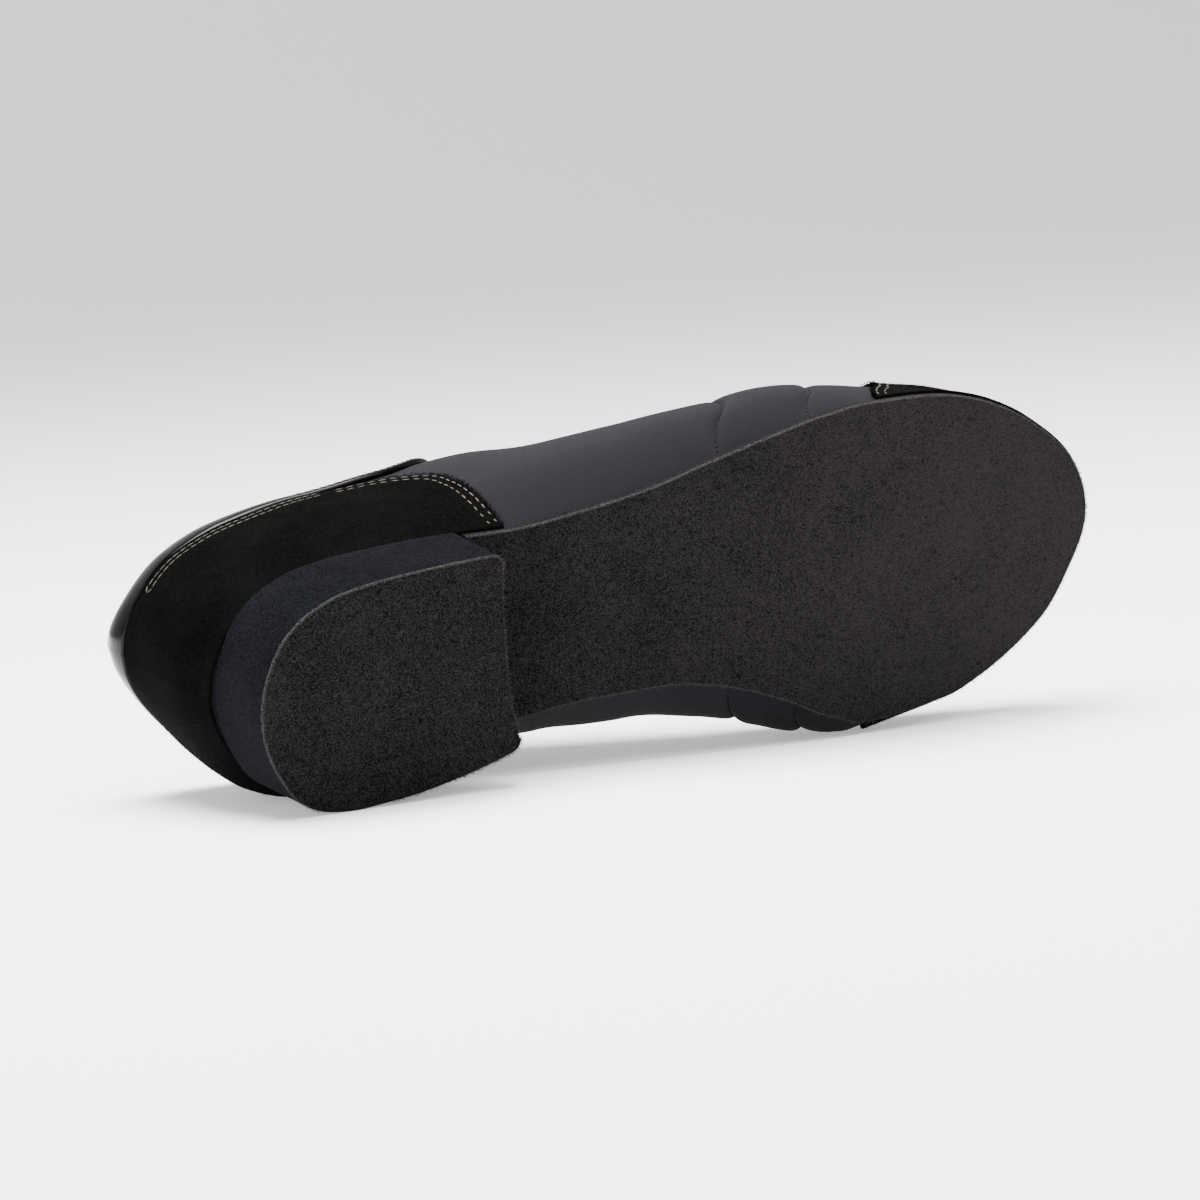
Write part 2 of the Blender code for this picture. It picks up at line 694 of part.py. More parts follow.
def heel_plan(flare):
    """Plan points of the heel, drawn in by flare, from its round back to the hollow breast."""
    run = np.linspace(0, 1, HEEL_ROWS)
    share = 1 - np.cos(run * math.pi / 2) ** 1.3
    halves = []
    for side in (LATERAL, MEDIAL):
        wide = smooth(HEEL_OUTLINE, HEEL_COLUMNS, side_name(side), share)
        wide = SEAT_WIDTH * np.where(share < HEEL_OUTLINE[1][0], round_back(share, side), wide)
        halves.append(wide * (1 - flare / (SEAT_WIDTH / 2)))
    along, y = plan_grid(share, halves[0], halves[1], 0 * share, HEEL_LINES)
    back = HEEL_BACK + flare
    x = back + (breast_place(y) - back) * along
    return x, y


def round_back(share, side):
    """Half width of the heel's back as an arc, before its outline table takes over."""
    first = HEEL_OUTLINE[1]
    wide = first[HEEL_COLUMNS.index(side_name(side))]
    return wide * np.sqrt(np.clip(share / first[0], 0, 1))


def heel_slice(height_of, flare):
    x, y = heel_plan(flare)
    return np.stack([x, y, height_of(x)], axis=-1)


def make_heel():
    """The heel block under the seat, and the suede top piece that meets the floor."""
    block_bottom = TOP_PIECE_THICKNESS + SEAM_GAP
    lower = heel_slice(lambda x: 0 * x + block_bottom, HEEL_FLARE * JOINT_FLARE)
    upper = heel_slice(lambda x: feather_height(x / SHOE_LENGTH), 0.0)
    block = slab("heel_block", lower, upper, "sole_suede")
    floor = heel_slice(lambda x: 0 * x, HEEL_FLARE)
    joint = heel_slice(lambda x: 0 * x + TOP_PIECE_THICKNESS, HEEL_FLARE * JOINT_FLARE)
    return block, slab("heel_top_piece", floor, joint, "sole_suede")


def make_insole():
    """The insole inside the upper's lower edge, lying on the outsole and the heel seat."""
    along = (1 - np.cos(np.linspace(0, math.pi, INSOLE_ROWS))) / 2
    edge = {side: skin(side, along, 0 * along, -(WALL + INSOLE_CLEARANCE)) for side in (LATERAL, MEDIAL)}
    across = np.linspace(0, 1, PLATE_LINES)[None, :, None]
    plan = edge[LATERAL][:, None, :] * (1 - across) + edge[MEDIAL][:, None, :] * across
    bottom = feather_height(plan[..., 0] / SHOE_LENGTH) + SEAM_GAP
    lower = np.stack([plan[..., 0], plan[..., 1], bottom], axis=-1)
    upper = lower + (0, 0, INSOLE_THICKNESS)
    return slab("insole", lower, upper, "lining")


def lace_rows():
    return np.linspace(LACE_FIRST, LACE_LAST, LACE_ROWS)


def lace_route(along):
    """A bar of lace from one facing to the other, held straight over the throat, ends turned down."""
    reach = THROAT_HALF_GAP + FACING_WIDTH * LACE_END
    lying = SEAM_GAP * 2 + PATENT_THICKNESS + LACE_RADIUS * LACE_LIFT
    route = []
    for side in (LATERAL, MEDIAL):
        for share, drop in LACE_ROUTE:
            level = level_at_distance(side, along, reach * share)
            lift = lying - drop * LACE_RADIUS
            point = last_point(side, along, level) + lift * last_normal(side, along, level)
            route.append((side * share, point))
    route.sort(key=lambda entry: entry[0])
    return [point for place, point in route]


def make_lace_bar(name, along):
    """One bar of lace, as a curve with a round bevel and closed ends."""
    points = lace_route(along)
    curve = bpy.data.curves.new(name, "CURVE")
    curve.dimensions = "3D"
    curve.bevel_depth = LACE_RADIUS
    curve.bevel_resolution = 2
    curve.use_fill_caps = True
    spline = curve.splines.new("POLY")
    spline.points.add(len(points) - 1)
    for knot, point in zip(spline.points, points):
        knot.co = (*point, 1)
    return new_object(name, curve, "lace")


def world_points(pieces):
    """All corner points of the finished pieces, with each piece's mesh centre weighted by its volume."""
    graph = bpy.context.evaluated_depsgraph_get()
    corners, volume, moment = [], 0.0, Vector((0, 0, 0))
    for piece in pieces:
        evaluated = piece.evaluated_get(graph)
        mesh = evaluated.to_mesh()
        work = bmesh.new()
        work.from_mesh(mesh)
        bmesh.ops.triangulate(work, faces=work.faces)
        for face in work.faces:
            a, b, c = (vert.co for vert in face.verts)
            share = a.dot(b.cross(c)) / 6
            volume += share
            moment += share * (a + b + c) / 4
        corners += [tuple(vert.co) for vert in work.verts]
        work.free()
        evaluated.to_mesh_clear()
    return corners, moment / volume


def resting_face(corners, centre):
    """The three points that the shoe lies on: the hull's face under its weight on the inner side."""
    work = bmesh.new()
    for corner in corners:
        work.verts.new(corner)
    bmesh.ops.convex_hull(work, input=work.verts)
    bmesh.ops.triangulate(work, faces=work.faces)
    best = None
    for face in work.faces:
        normal = face.normal
        a, b, c = (vert.co.copy() for vert in face.verts)
        if normal.dot((a + b + c) / 3 - centre) < 0:
            normal = -normal
        if normal.y < STEEPEST_REST:
            continue
        foot = centre + normal * normal.dot(a - centre)
        signs = [(q - p).cross(foot - p).dot(normal) for p, q in ((a, b), (b, c), (c, a))]
        inside = min(signs) >= 0 or max(signs) <= 0
        if inside and (best is None or normal.dot(a - centre) > best[1].dot(best[0] - centre)):
            best = (a, normal.copy())
    work.free()
    return best


def lie_on_inner_side(pieces):
    """Parents every piece to one empty that lays the shoe down, with its origin under its middle."""
    corners, centre = world_points(pieces)
    touch, down = resting_face(corners, centre)
    turn = down.rotation_difference(Vector((0, 0, -1))).to_matrix()
    forward = turn @ Vector((1, 0, 0))
    straighten = Matrix.Rotation(-math.atan2(forward.y, forward.x), 3, "Z")
    turn = straighten @ turn
    laid = np.array([turn @ Vector(corner) for corner in corners])
    low, high = laid.min(axis=0), laid.max(axis=0)
    pose = bpy.data.objects.new("laid_on_inner_side", None)
    bpy.context.scene.collection.objects.link(pose)
    middle = (low + high) / 2
    pose.matrix_world = Matrix.Translation((-middle[0], -middle[1], -low[2])) @ turn.to_4x4()
    for piece in pieces:
        piece.parent = pose
    return pose


def clear_scene():
    for old in list(bpy.data.objects):
        bpy.data.objects.remove(old)


def main():
    clear_scene()
    pieces = [
        make_upper(),
        make_panel("heel_counter", counter_limits, SUEDE_THICKNESS, "suede"),
        make_panel("toe_cap", toe_cap_limits, SUEDE_THICKNESS, "suede"),
        make_panel("collar_facing", band_limits, PATENT_THICKNESS, "patent"),
        make_tongue(),
        make_outsole(),
        *make_heel(),
        make_insole(),
    ]
    for row, along in enumerate(lace_rows(), start=1):
        pieces.append(make_lace_bar(f"lace_bar_{row}", along))
    bpy.context.view_layer.update()
    lie_on_inner_side(pieces)


main()
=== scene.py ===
import json
import math

import bpy
import numpy as np
from bpy.props import FloatProperty, FloatVectorProperty, IntProperty, PointerProperty
from mathutils import Matrix, Vector


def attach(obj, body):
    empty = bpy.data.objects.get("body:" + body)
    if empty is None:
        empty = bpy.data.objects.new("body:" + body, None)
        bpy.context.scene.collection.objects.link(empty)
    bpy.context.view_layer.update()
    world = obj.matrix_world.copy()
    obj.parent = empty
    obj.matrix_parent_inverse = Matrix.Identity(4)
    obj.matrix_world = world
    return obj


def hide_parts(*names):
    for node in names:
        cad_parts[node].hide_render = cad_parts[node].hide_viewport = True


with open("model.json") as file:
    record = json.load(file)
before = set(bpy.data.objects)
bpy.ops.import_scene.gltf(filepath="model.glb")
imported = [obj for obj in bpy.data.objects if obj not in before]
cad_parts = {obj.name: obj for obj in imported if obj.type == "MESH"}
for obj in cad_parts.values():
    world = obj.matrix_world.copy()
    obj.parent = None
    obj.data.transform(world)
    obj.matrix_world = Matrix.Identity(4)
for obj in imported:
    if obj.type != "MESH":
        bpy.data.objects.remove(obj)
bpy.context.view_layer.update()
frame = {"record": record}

# Looks of a right ballroom dance shoe that lies on its inner side, sole towards the camera. Every piece is
# worked out in the shoe's own upright frame (X heel to toe, +Y inner side, Z up from the floor that it would
# stand on, metres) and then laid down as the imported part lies.

bl_info = {
    "name": "Ballroom dance shoe",
    "version": (1, 0, 0),
    "blender": (4, 5, 0),
    "location": "View3D > Sidebar > Dance shoe",
    "description": "Dresses the packed dance shoe in neoprene, suede and patent leather",
    "category": "Object",
}

# ---- the shoe's own sizes, in metres

SHOE_LENGTH = 0.288
BALL_WIDTH = 0.098
SEAT_WIDTH = 0.0655
HEEL_RISE = 0.0228
TOE_SPRING = 0.0062
TOE_SWING = 0.0035
INSTEP_HEIGHT = 0.088
BACK_HEIGHT = 0.060
ANKLE_HEIGHT = 0.0515
HEEL_LENGTH = 0.0805
SEAM_GAP = 0.0003
WALL = 0.0022
SOLE_THICKNESS = 0.0026
SOLE_MARGIN = 0.0006
INSOLE_THICKNESS = 0.0030
INSOLE_CLEARANCE = 0.0012
HEEL_FLARE = 0.0008
HEEL_BACK = 0.0006
HEEL_CORNER = 0.0040
HEEL_CORNER_CUT = 0.0028
SUEDE_THICKNESS = 0.0011
PATENT_THICKNESS = 0.0013
THROAT_HALF_GAP = 0.0062
BAND_HEIGHT = 0.0095
BAND_NARROWING = 0.62
FACING_WIDTH = 0.0180
FACING_TIP_HALF_WIDTH = 0.0025
PUFF_HEIGHT = 0.0006
GROOVE_DEPTH = 0.0019
GROOVE_SHOULDER = 0.0014
SEAM_LEAN = 0.0130
GROOVE_LEAN = 0.0036
SEAM_SKEW = 0.0045
BREAST_HOLLOW = 0.0030
BREAST_SKEW = 0.0040
HEEL_BULGE = 0.0009
TOE_BULGE = 0.0012
HEEL_FACE_MIDDLE = 0.045
SUEDE_FACE = SEAM_GAP + SUEDE_THICKNESS
PATENT_FACE = SEAM_GAP + PATENT_THICKNESS
SUEDE_EDGE_RADIUS = 0.0005
PATENT_EDGE_RADIUS = 0.0006
ROLL_TUCKS = (0.0015, 0.0030, 0.0042)
TONGUE_HALF_WIDTH = 0.0215
TONGUE_THICKNESS = 0.0034
TONGUE_DEPTH = 0.0026
TONGUE_SINK = 0.0016
TONGUE_EDGE_RADIUS = 0.0012
LOOP_ROWS = (0.0012, 0.0040)
FACING_ROWS = (0.0014, 0.0036)
GROOVE_STITCH_PITCH = 0.0019
FINE_STITCH = {"Length": 0.0017, "Thickness": 0.0006, "Lean": 0.3}
# What the edge attribute says where no cut edge is near
FAR_FROM_EDGE = 0.01

# Shares of the shoe's length, and of the way up a section
COLLAR_END = 0.280
THROAT_END = 0.625
FACING_END = 0.655
TONGUE_TOP = 0.368
TONGUE_END = 0.640
TOE_CAP_START = 0.714
COUNTER_FRONT = 0.325
COUNTER_CORNER_START = 0.55
COUNTER_CORNER_RISE = 0.46
COUNTER_CORNER_REACH = 0.17
COUNTER_TOP = 0.983
FACING_BLEND = 0.150
BAND_NARROWING_START = 0.05
BAND_NARROWING_RUN = 0.17
LACE_ROWS = 5
LACE_FIRST = 0.437
LACE_LAST = 0.600
LACE_END = 0.42
FLEX_GROOVES = (0.548, 0.634)
LEAN_START = 0.42
LEAN_RUN_IN = 0.11
LEAN_FADE = 0.22
LEAN_LEVEL = 0.36
GROOVE_LEAN_LEVEL = 0.12
GROOVE_LEAN_LOSS = 0.45
GROOVE_SPACING = FLEX_GROOVES[1] - FLEX_GROOVES[0]
SKEW_START = 0.54
SWING_START = 0.60
BACK_LEAN_END = 0.30
NOSE_START = 0.80
WIDEST_LEVEL = 0.22
FEATHER_RISE = 0.55
FLUSH_SHARE = 0.4
PUFF_LEVEL = 0.16
NOSE_ROLL = 0.25
FACING_TOP_LEVEL = 0.97
LEVEL_SPAN = 0.105
GROOVE_REACH = 0.016
THROAT_CLEARANCE = 0.0004
THROAT_STEPS = (0.0, 0.0006, 0.0014, 0.0028)
ROLL_END = 0.020
ROLL_FADE = 0.05
BREAST_LEVEL = 0.35
BREAST_FADE = 0.28
TONGUE_TAPER = 0.30
TONGUE_ROUND_END = 0.14
TONGUE_TOP_WIDTH = 0.60
TONGUE_TOP_DROP = 0.020

# Loose fibres: how many there are, and in metres how they stand and what they keep clear of
SOLE_FIBRES, HEEL_FIBRES = 5200, 3600
COUNTER_EDGE_FIBRES, TOE_CAP_EDGE_FIBRES = 1500, 1300
COUNTER_FIBRES, TOE_CAP_FIBRES = 5000, 4000
SHORT_NAP = 0.0005
EDGE_NAP_LIFT = 0.0012
NAP_ROOT = 0.00025
JITTER, FINE_JITTER = 0.0003, 0.0002
NEIGHBOURS_WITHIN = 0.004
FLOOR_CLEARANCE = 0.0013

LATERAL = -1
MEDIAL = 1
SIDES = (LATERAL, MEDIAL)

# Half widths of the sole from its centre line, as shares of the ball width
SOLE_OUTLINE_COLUMNS = ("along", "lateral", "medial")
SOLE_OUTLINE = (
    (0.000, 0.000, 0.000),
    (0.020, 0.168, 0.168),
    (0.060, 0.270, 0.270),
    (0.115, 0.316, 0.316),
    (0.180, 0.328, 0.324),
    (0.250, 0.320, 0.304),
    (0.330, 0.308, 0.265),
    (0.400, 0.327, 0.251),
    (0.470, 0.359, 0.252),
    (0.535, 0.410, 0.288),
    (0.600, 0.455, 0.367),
    (0.650, 0.482, 0.451),
    (0.700, 0.492, 0.502),
    (0.750, 0.484, 0.499),
    (0.800, 0.467, 0.489),
    (0.850, 0.427, 0.446),
    (0.900, 0.359, 0.378),
    (0.940, 0.279, 0.300),
    (0.975, 0.187, 0.176),
    (1.000, 0.000, 0.000),
)

# The sole's underside: the heel's rise and the toe's spring, each as a share of its own size
SOLE_LINE_COLUMNS = ("along", "heel_rise", "toe_spring")
SOLE_LINE = (
    (0.00, 1.020, 0.00),
    (0.10, 1.000, 0.00),
    (0.20, 0.965, 0.00),
    (0.28, 0.895, 0.00),
    (0.34, 0.775, 0.00),
    (0.42, 0.565, 0.00),
    (0.50, 0.345, 0.00),
    (0.57, 0.155, 0.00),
    (0.63, 0.035, 0.00),
    (0.67, 0.000, 0.00),
    (0.73, 0.000, 0.00),
    (0.78, 0.000, 0.05),
    (0.83, 0.000, 0.17),
    (0.90, 0.000, 0.44),
    (0.96, 0.000, 0.76),
    (1.00, 0.000, 1.00),
)

# The last: ridge is a share of the instep height, swell_* how far each side stands out past the sole as a
# share of its half width, widest the share of the ridge at which it does, crest the exponent of the arch, and
# ridge_shift moves the ridge as a share of the ball width
LAST_COLUMNS = ("along", "ridge", "swell_lateral", "swell_medial", "widest", "crest", "ridge_shift")
LAST = (
    (0.00, 0.740, 0.08, 0.27, 0.26, 2.20, 0.000),
    (0.10, 0.960, 0.08, 0.30, 0.22, 2.20, 0.000),
    (0.20, 1.050, 0.11, 0.31, 0.22, 2.25, 0.010),
    (0.30, 1.060, 0.22, 0.42, 0.25, 2.20, 0.020),
    (0.38, 1.000, 0.31, 0.70, 0.28, 2.15, 0.035),
    (0.45, 0.885, 0.28, 0.72, 0.29, 2.05, 0.050),
    (0.52, 0.785, 0.21, 0.61, 0.29, 2.05, 0.060),
    (0.60, 0.675, 0.13, 0.37, 0.28, 2.10, 0.060),
    (0.66, 0.600, 0.09, 0.20, 0.27, 2.20, 0.055),
    (0.72, 0.525, 0.03, 0.13, 0.27, 2.25, 0.045),
    (0.80, 0.425, -0.03, 0.08, 0.28, 2.30, 0.035),
    (0.87, 0.345, -0.04, 0.06, 0.30, 2.35, 0.025),
    (0.94, 0.258, -0.04, 0.04, 0.34, 2.40, 0.010),
    (1.00, 0.165, 0.00, 0.00, 0.38, 2.40, 0.000),
)

# Height of the topline above the seat, between the ankle's low point (0) and the back (1)
TOPLINE_COLUMNS = ("along", "rise")
TOPLINE = (
    (0.000, 1.00),
    (0.030, 0.96),
    (0.100, 0.62),
    (0.170, 0.22),
    (0.240, 0.02),
    (0.300, 0.20),
    (0.350, 0.86),
    (0.390, 1.85),
    (0.430, 3.20),
)

# Outline of the heel's seat along its own length: half widths as shares of the seat width
HEEL_COLUMNS = ("along", "lateral", "medial")
HEEL_OUTLINE = (
    (0.000, 0.000, 0.000),
    (0.060, 0.265, 0.280),
    (0.130, 0.375, 0.405),
    (0.230, 0.450, 0.475),
    (0.360, 0.493, 0.502),
    (0.520, 0.506, 0.504),
    (0.720, 0.503, 0.485),
    (0.880, 0.495, 0.455),
    (1.000, 0.487, 0.424),
)

# How far the back seam stands back, as a share of the heel bulge, by share of the back's height
BACK_CURVE_COLUMNS = ("up", "out")
BACK_CURVE = (
    (0.00, 0.00),
    (0.15, 0.72),
    (0.35, 1.00),
    (0.60, 0.72),
    (0.85, 0.10),
    (1.00, -0.30),
    (2.20, -3.20),
)

# Soft folds: side, place, direction in degrees from the shoe's length, half length and half
# width of the trough, and its depth (below zero for a ridge)
CREASE_COLUMNS = ("side", "along", "level", "turn", "length", "width", "depth")
CREASES = (
    (LATERAL, 0.390, 0.300, 62, 0.0200, 0.0060, 0.00060),
    (LATERAL, 0.440, 0.420, 48, 0.0260, 0.0080, 0.00055),
    (LATERAL, 0.505, 0.220, 78, 0.0140, 0.0050, 0.00035),
    (LATERAL, 0.530, 0.520, 70, 0.0200, 0.0060, 0.00045),
    (LATERAL, 0.250, 0.240, 15, 0.0240, 0.0090, 0.00060),
    (LATERAL, 0.150, 0.330, -20, 0.0180, 0.0080, 0.00050),
    (LATERAL, 0.690, 0.420, 74, 0.0160, 0.0050, 0.00040),
    (MEDIAL, 0.400, 0.240, 58, 0.0240, 0.0070, 0.00070),
    (MEDIAL, 0.470, 0.380, 66, 0.0200, 0.0080, 0.00060),
    (MEDIAL, 0.230, 0.300, 20, 0.0220, 0.0090, 0.00060),
    (MEDIAL, 0.690, 0.440, 76, 0.0160, 0.0050, 0.00045),
    (MEDIAL, 0.520, 0.560, 70, 0.0200, 0.0060, 0.00040),
)


def linear(code):
    """Linear colour of an sRGB hex code."""
    shades = [int(code[at : at + 2], 16) / 255 for at in (1, 3, 5)]
    return tuple(shade / 12.92 if shade <= 0.04045 else ((shade + 0.055) / 1.055) ** 2.4 for shade in shades)


def colour_property(name, description, code):
    return FloatVectorProperty(
        name=name, description=description, subtype="COLOR", size=3, min=0, max=1, default=linear(code)
    )


def length_property(name, description, size):
    return FloatProperty(name=name, description=description, default=size, min=0, unit="LENGTH", precision=5)


class DanceShoeColours(bpy.types.PropertyGroup):
    """Colours of the shoe's materials."""

    neoprene: colour_property("Neoprene", "Dyed knit face of the upper", "#0d0c11")
    suede: colour_property("Upper suede", "Deep black nap of counter and toe cap", "#000000")
    suede_tip: colour_property("Suede tips", "Brushed tips of the black nap", "#0b0a09")
    sole: colour_property("Sole suede", "Chrome-tanned sole leather, brushed", "#050505")
    sole_tip: colour_property("Sole tips", "Raised fibres of the sole leather", "#211f1f")
    heel: colour_property("Heel cover", "Suede round the heel's side", "#020203")
    heel_tip: colour_property("Heel cover tips", "Raised fibres on the heel's side", "#121317")
    fibre: colour_property("Cut edge", "Loose fibres where suede is cut", "#3c3b3a")
    patent: colour_property("Patent", "Lacquered collar and facings", "#020202")
    lining: colour_property("Lining", "Brushed textile inside", "#0a0a0b")
    insole: colour_property("Insole", "Microfibre under the foot", "#0d0d0f")
    lace: colour_property("Lace", "Waxed cotton lace", "#070708")
    thread: colour_property("Light thread", "Sewing thread on suede", "#5a5853")
    dark_thread: colour_property("Dark thread", "Sewing thread in the flex grooves", "#020202")
    eyelet: colour_property("Eyelets", "Black nickel", "#3b3b40")
    paper: colour_property("Floor", "Background paper", "#fafafa")


class DanceShoeSizes(bpy.types.PropertyGroup):
    """Sizes of the details that the shoe is finished with."""

    stitch_length: length_property("Stitch length", "Length of one visible stitch", 0.0024)
    stitch_pitch: length_property("Stitch pitch", "Distance between stitches", 0.0032)
    stitch_thickness: length_property("Thread thickness", "Thickness of a visible stitch", 0.00048)
    first_row: length_property("First row", "Distance of the first stitch row from its edge", 0.0015)
    second_row: length_property("Second row", "Distance of the second stitch row from its edge", 0.0040)
    nap_length: length_property("Nap length", "Length of the loose fibres at a cut edge", 0.00075)
    nap_thickness: length_property("Nap thickness", "Thickness of a fibre, coarse enough to show", 0.00011)
    sole_arris: length_property("Sole arris", "Radius of the sole's lower edge", 0.0007)
    heel_arris: length_property("Heel arris", "Radius of the heel's lower edge", 0.0009)
    lace_thickness: length_property("Lace thickness", "Diameter of the lace", 0.0028)
    eyelet_radius: length_property("Eyelet radius", "Outer radius of an eyelet", 0.0030)
    collar_crown: length_property("Collar crown", "Padding under the patent collar", 0.0007)
    seed: IntProperty(name="Seed", description="Seed of the random draws", default=7, min=0)


def chosen(context):
    return context.scene.dance_shoe_colours, context.scene.dance_shoe_sizes


# ---- the last and what is measured on it


def smooth(table, names, name, at, round_ends=False):
    """Smooth monotone lookup in a table. With round_ends, the curve meets zero upright at both ends."""
    rows = np.array(table, float)
    key, value = rows[:, 0], rows[:, names.index(name)]
    at = np.clip(np.asarray(at, float), key[0], key[-1])
    if round_ends:
        key = np.arccos(1 - 2 * key)
        at = np.arccos(1 - 2 * at)
    step = np.diff(key)
    slope = np.diff(value) / step
    tangent = np.empty(len(key))
    tangent[0] = slope[0]
    tangent[-1] = slope[-1]
    left, right = slope[:-1], slope[1:]
    same_way = left * right > 0
    weight_left = 2 * step[1:] + step[:-1]
    weight_right = step[1:] + 2 * step[:-1]
    safe_left = np.where(same_way, left, 1.0)
    safe_right = np.where(same_way, right, 1.0)
    mean = (weight_left + weight_right) / (weight_left / safe_left + weight_right / safe_right)
    tangent[1:-1] = np.where(same_way, mean, 0.0)
    cell = np.clip(np.searchsorted(key, at, side="right") - 1, 0, len(key) - 2)
    width = step[cell]
    u = (at - key[cell]) / width
    rise = value[cell + 1] - value[cell]
    bend_in = tangent[cell] * width - rise
    bend_out = rise - tangent[cell + 1] * width
    return value[cell] + u * rise + u * (1 - u) * ((1 - u) * bend_in + u * bend_out)


def ramp(share):
    """Soft step from 0 to 1."""
    share = np.clip(share, 0, 1)
    return share**2 * (3 - 2 * share)


def centre_line(along):
    """Sideways place of the sole's centre line, which swings to the big toe ahead of the waist."""
    return TOE_SWING * np.clip((np.asarray(along, float) - SWING_START) / (1 - SWING_START), 0, 1) ** 2


def side_name(side):
    return "lateral" if side == LATERAL else "medial"


def sole_half_width(along, side):
    return BALL_WIDTH * smooth(SOLE_OUTLINE, SOLE_OUTLINE_COLUMNS, side_name(side), along, round_ends=True)


def sole_underside(along):
    heel = HEEL_RISE * smooth(SOLE_LINE, SOLE_LINE_COLUMNS, "heel_rise", along)
    return heel + TOE_SPRING * smooth(SOLE_LINE, SOLE_LINE_COLUMNS, "toe_spring", along)


def feather_height(along):
    return sole_underside(along) + SOLE_THICKNESS


def last_value(name, along):
    return smooth(LAST, LAST_COLUMNS, name, along)


def leaned(side, share, level):
    """Place along the shoe of a seam over the vamp, which leans forward as it rises, the outer end most."""
    before_toe = ramp((1 - share) / LEAN_FADE)
    lean = SEAM_LEAN * ramp(level / LEAN_LEVEL) * ramp((share - LEAN_START) / LEAN_RUN_IN) * before_toe
    skew = SEAM_SKEW * (1 - level) * ramp((share - SKEW_START) / LEAN_RUN_IN) * before_toe
    return share + (lean - side * skew) / SHOE_LENGTH


def grooved(side, share, level):
    """Place of a flex groove, which leans forward over the vamp a little more than the panels' seams."""
    along_part = ramp((share - LEAN_START) / LEAN_RUN_IN) * ramp((1 - share) / LEAN_FADE)
    along_part = along_part * (1 - GROOVE_LEAN_LOSS * ramp((share - FLEX_GROOVES[0]) / GROOVE_SPACING))
    extra = GROOVE_LEAN * (1 - np.exp(-level / GROOVE_LEAN_LEVEL)) * along_part
    return leaned(side, share, level) + extra / SHOE_LENGTH


def flex_relief(side, along, level):
    """Pillowed neoprene between the stitched flex grooves, each a narrow valley with round shoulders."""
    first, last = (grooved(side, groove, level) for groove in FLEX_GROOVES)
    between = np.clip((along - first) / (last - first), 0, 1)
    relief = PUFF_HEIGHT * (1 - abs(2 * between - 1) ** 6)
    for groove in (first, last):
        distance = abs(along - groove) * SHOE_LENGTH
        relief = relief - GROOVE_DEPTH * np.exp(-distance / GROOVE_SHOULDER)
    return relief * np.sin(np.clip(level / PUFF_LEVEL, 0, 1) * math.pi / 2)


def soft_folds(side, along, level):
    """Listed creases and the slight unevenness of a soft upper, gone at seams that both sides share."""
    total = 0.00010 * np.sin(along * 41 + 2 * side) * np.sin(level * 9 + along * 13)
    for row in CREASES:
        crease = dict(zip(CREASE_COLUMNS, row))
        if crease["side"] != side:
            continue
        run = (along - crease["along"]) * SHOE_LENGTH
        rise = (level - crease["level"]) * LEVEL_SPAN
        turn = math.radians(crease["turn"])
        lengthwise = run * math.cos(turn) + rise * math.sin(turn)
        across = rise * math.cos(turn) - run * math.sin(turn) + 6 * lengthwise**2
        fade = np.exp(-((lengthwise / crease["length"]) ** 2))
        total = total - crease["depth"] * np.exp(-((across / crease["width"]) ** 2)) * fade
    ends = ramp(along / 0.05) * ramp((1 - along) / 0.05) * ramp((0.97 - level) / 0.12) * ramp(level / 0.06)
    return total * ends


def end_shift(along, height):
    """How far the back seam leans and the toe's nose swells, fading out along the shoe."""
    back = np.clip(1 - along / BACK_LEAN_END, 0, 1) ** 1.5
    lean = -HEEL_BULGE * smooth(BACK_CURVE, BACK_CURVE_COLUMNS, "out", height / BACK_HEIGHT)
    front = np.clip((along - NOSE_START) / (1 - NOSE_START), 0, 1) ** 2
    nose_height = INSTEP_HEIGHT * LAST[-1][LAST_COLUMNS.index("ridge")]
    nose = TOE_BULGE * np.sin(np.clip(height / nose_height, 0, 1) * math.pi)
    return back * lean + front * (nose - NOSE_ROLL * np.clip(height, 0, None))


def last_point(side, along, level, relief=1.0):
    """A point of the last: along from heel to toe, level from the feather edge (0) to the ridge (1)."""
    along, level = np.broadcast_arrays(np.asarray(along, float), np.asarray(level, float))
    half = np.maximum(sole_half_width(along, side) - SOLE_MARGIN * np.sqrt(np.sin(np.pi * along)), 0)
    swell = half * last_value("swell_" + side_name(side), along)
    ridge = INSTEP_HEIGHT * last_value("ridge", along)
    widest = ridge * last_value("widest", along)
    power = 2 / last_value("crest", along)
    shift = side * BALL_WIDTH * last_value("ridge_shift", along)
    low = np.clip(level / WIDEST_LEVEL, 0, 1)
    high = np.clip((level - WIDEST_LEVEL) / (1 - WIDEST_LEVEL), 0, 1) * math.pi / 2
    body = half + swell * (2 * low - low**2)
    height = widest * (2 * FEATHER_RISE * low * (1 - low) + low**2)
    arch = np.clip(np.cos(high), 0, 1) ** power
    body = np.where(level > WIDEST_LEVEL, shift + (half + swell - shift) * arch, body)
    height = np.where(level > WIDEST_LEVEL, widest + (ridge - widest) * np.sin(high) ** power, height)
    puff = relief * (flex_relief(side, along, level) + soft_folds(side, along, level))
    body = body + puff * np.clip(1 - level, 0, 1) ** 0.5
    x = SHOE_LENGTH * along + end_shift(along, height)
    y = centre_line(along) + side * body
    z = feather_height(along) + SEAM_GAP + height + puff * np.clip(level, 0, 1)
    return np.stack([x, y, z], axis=-1)


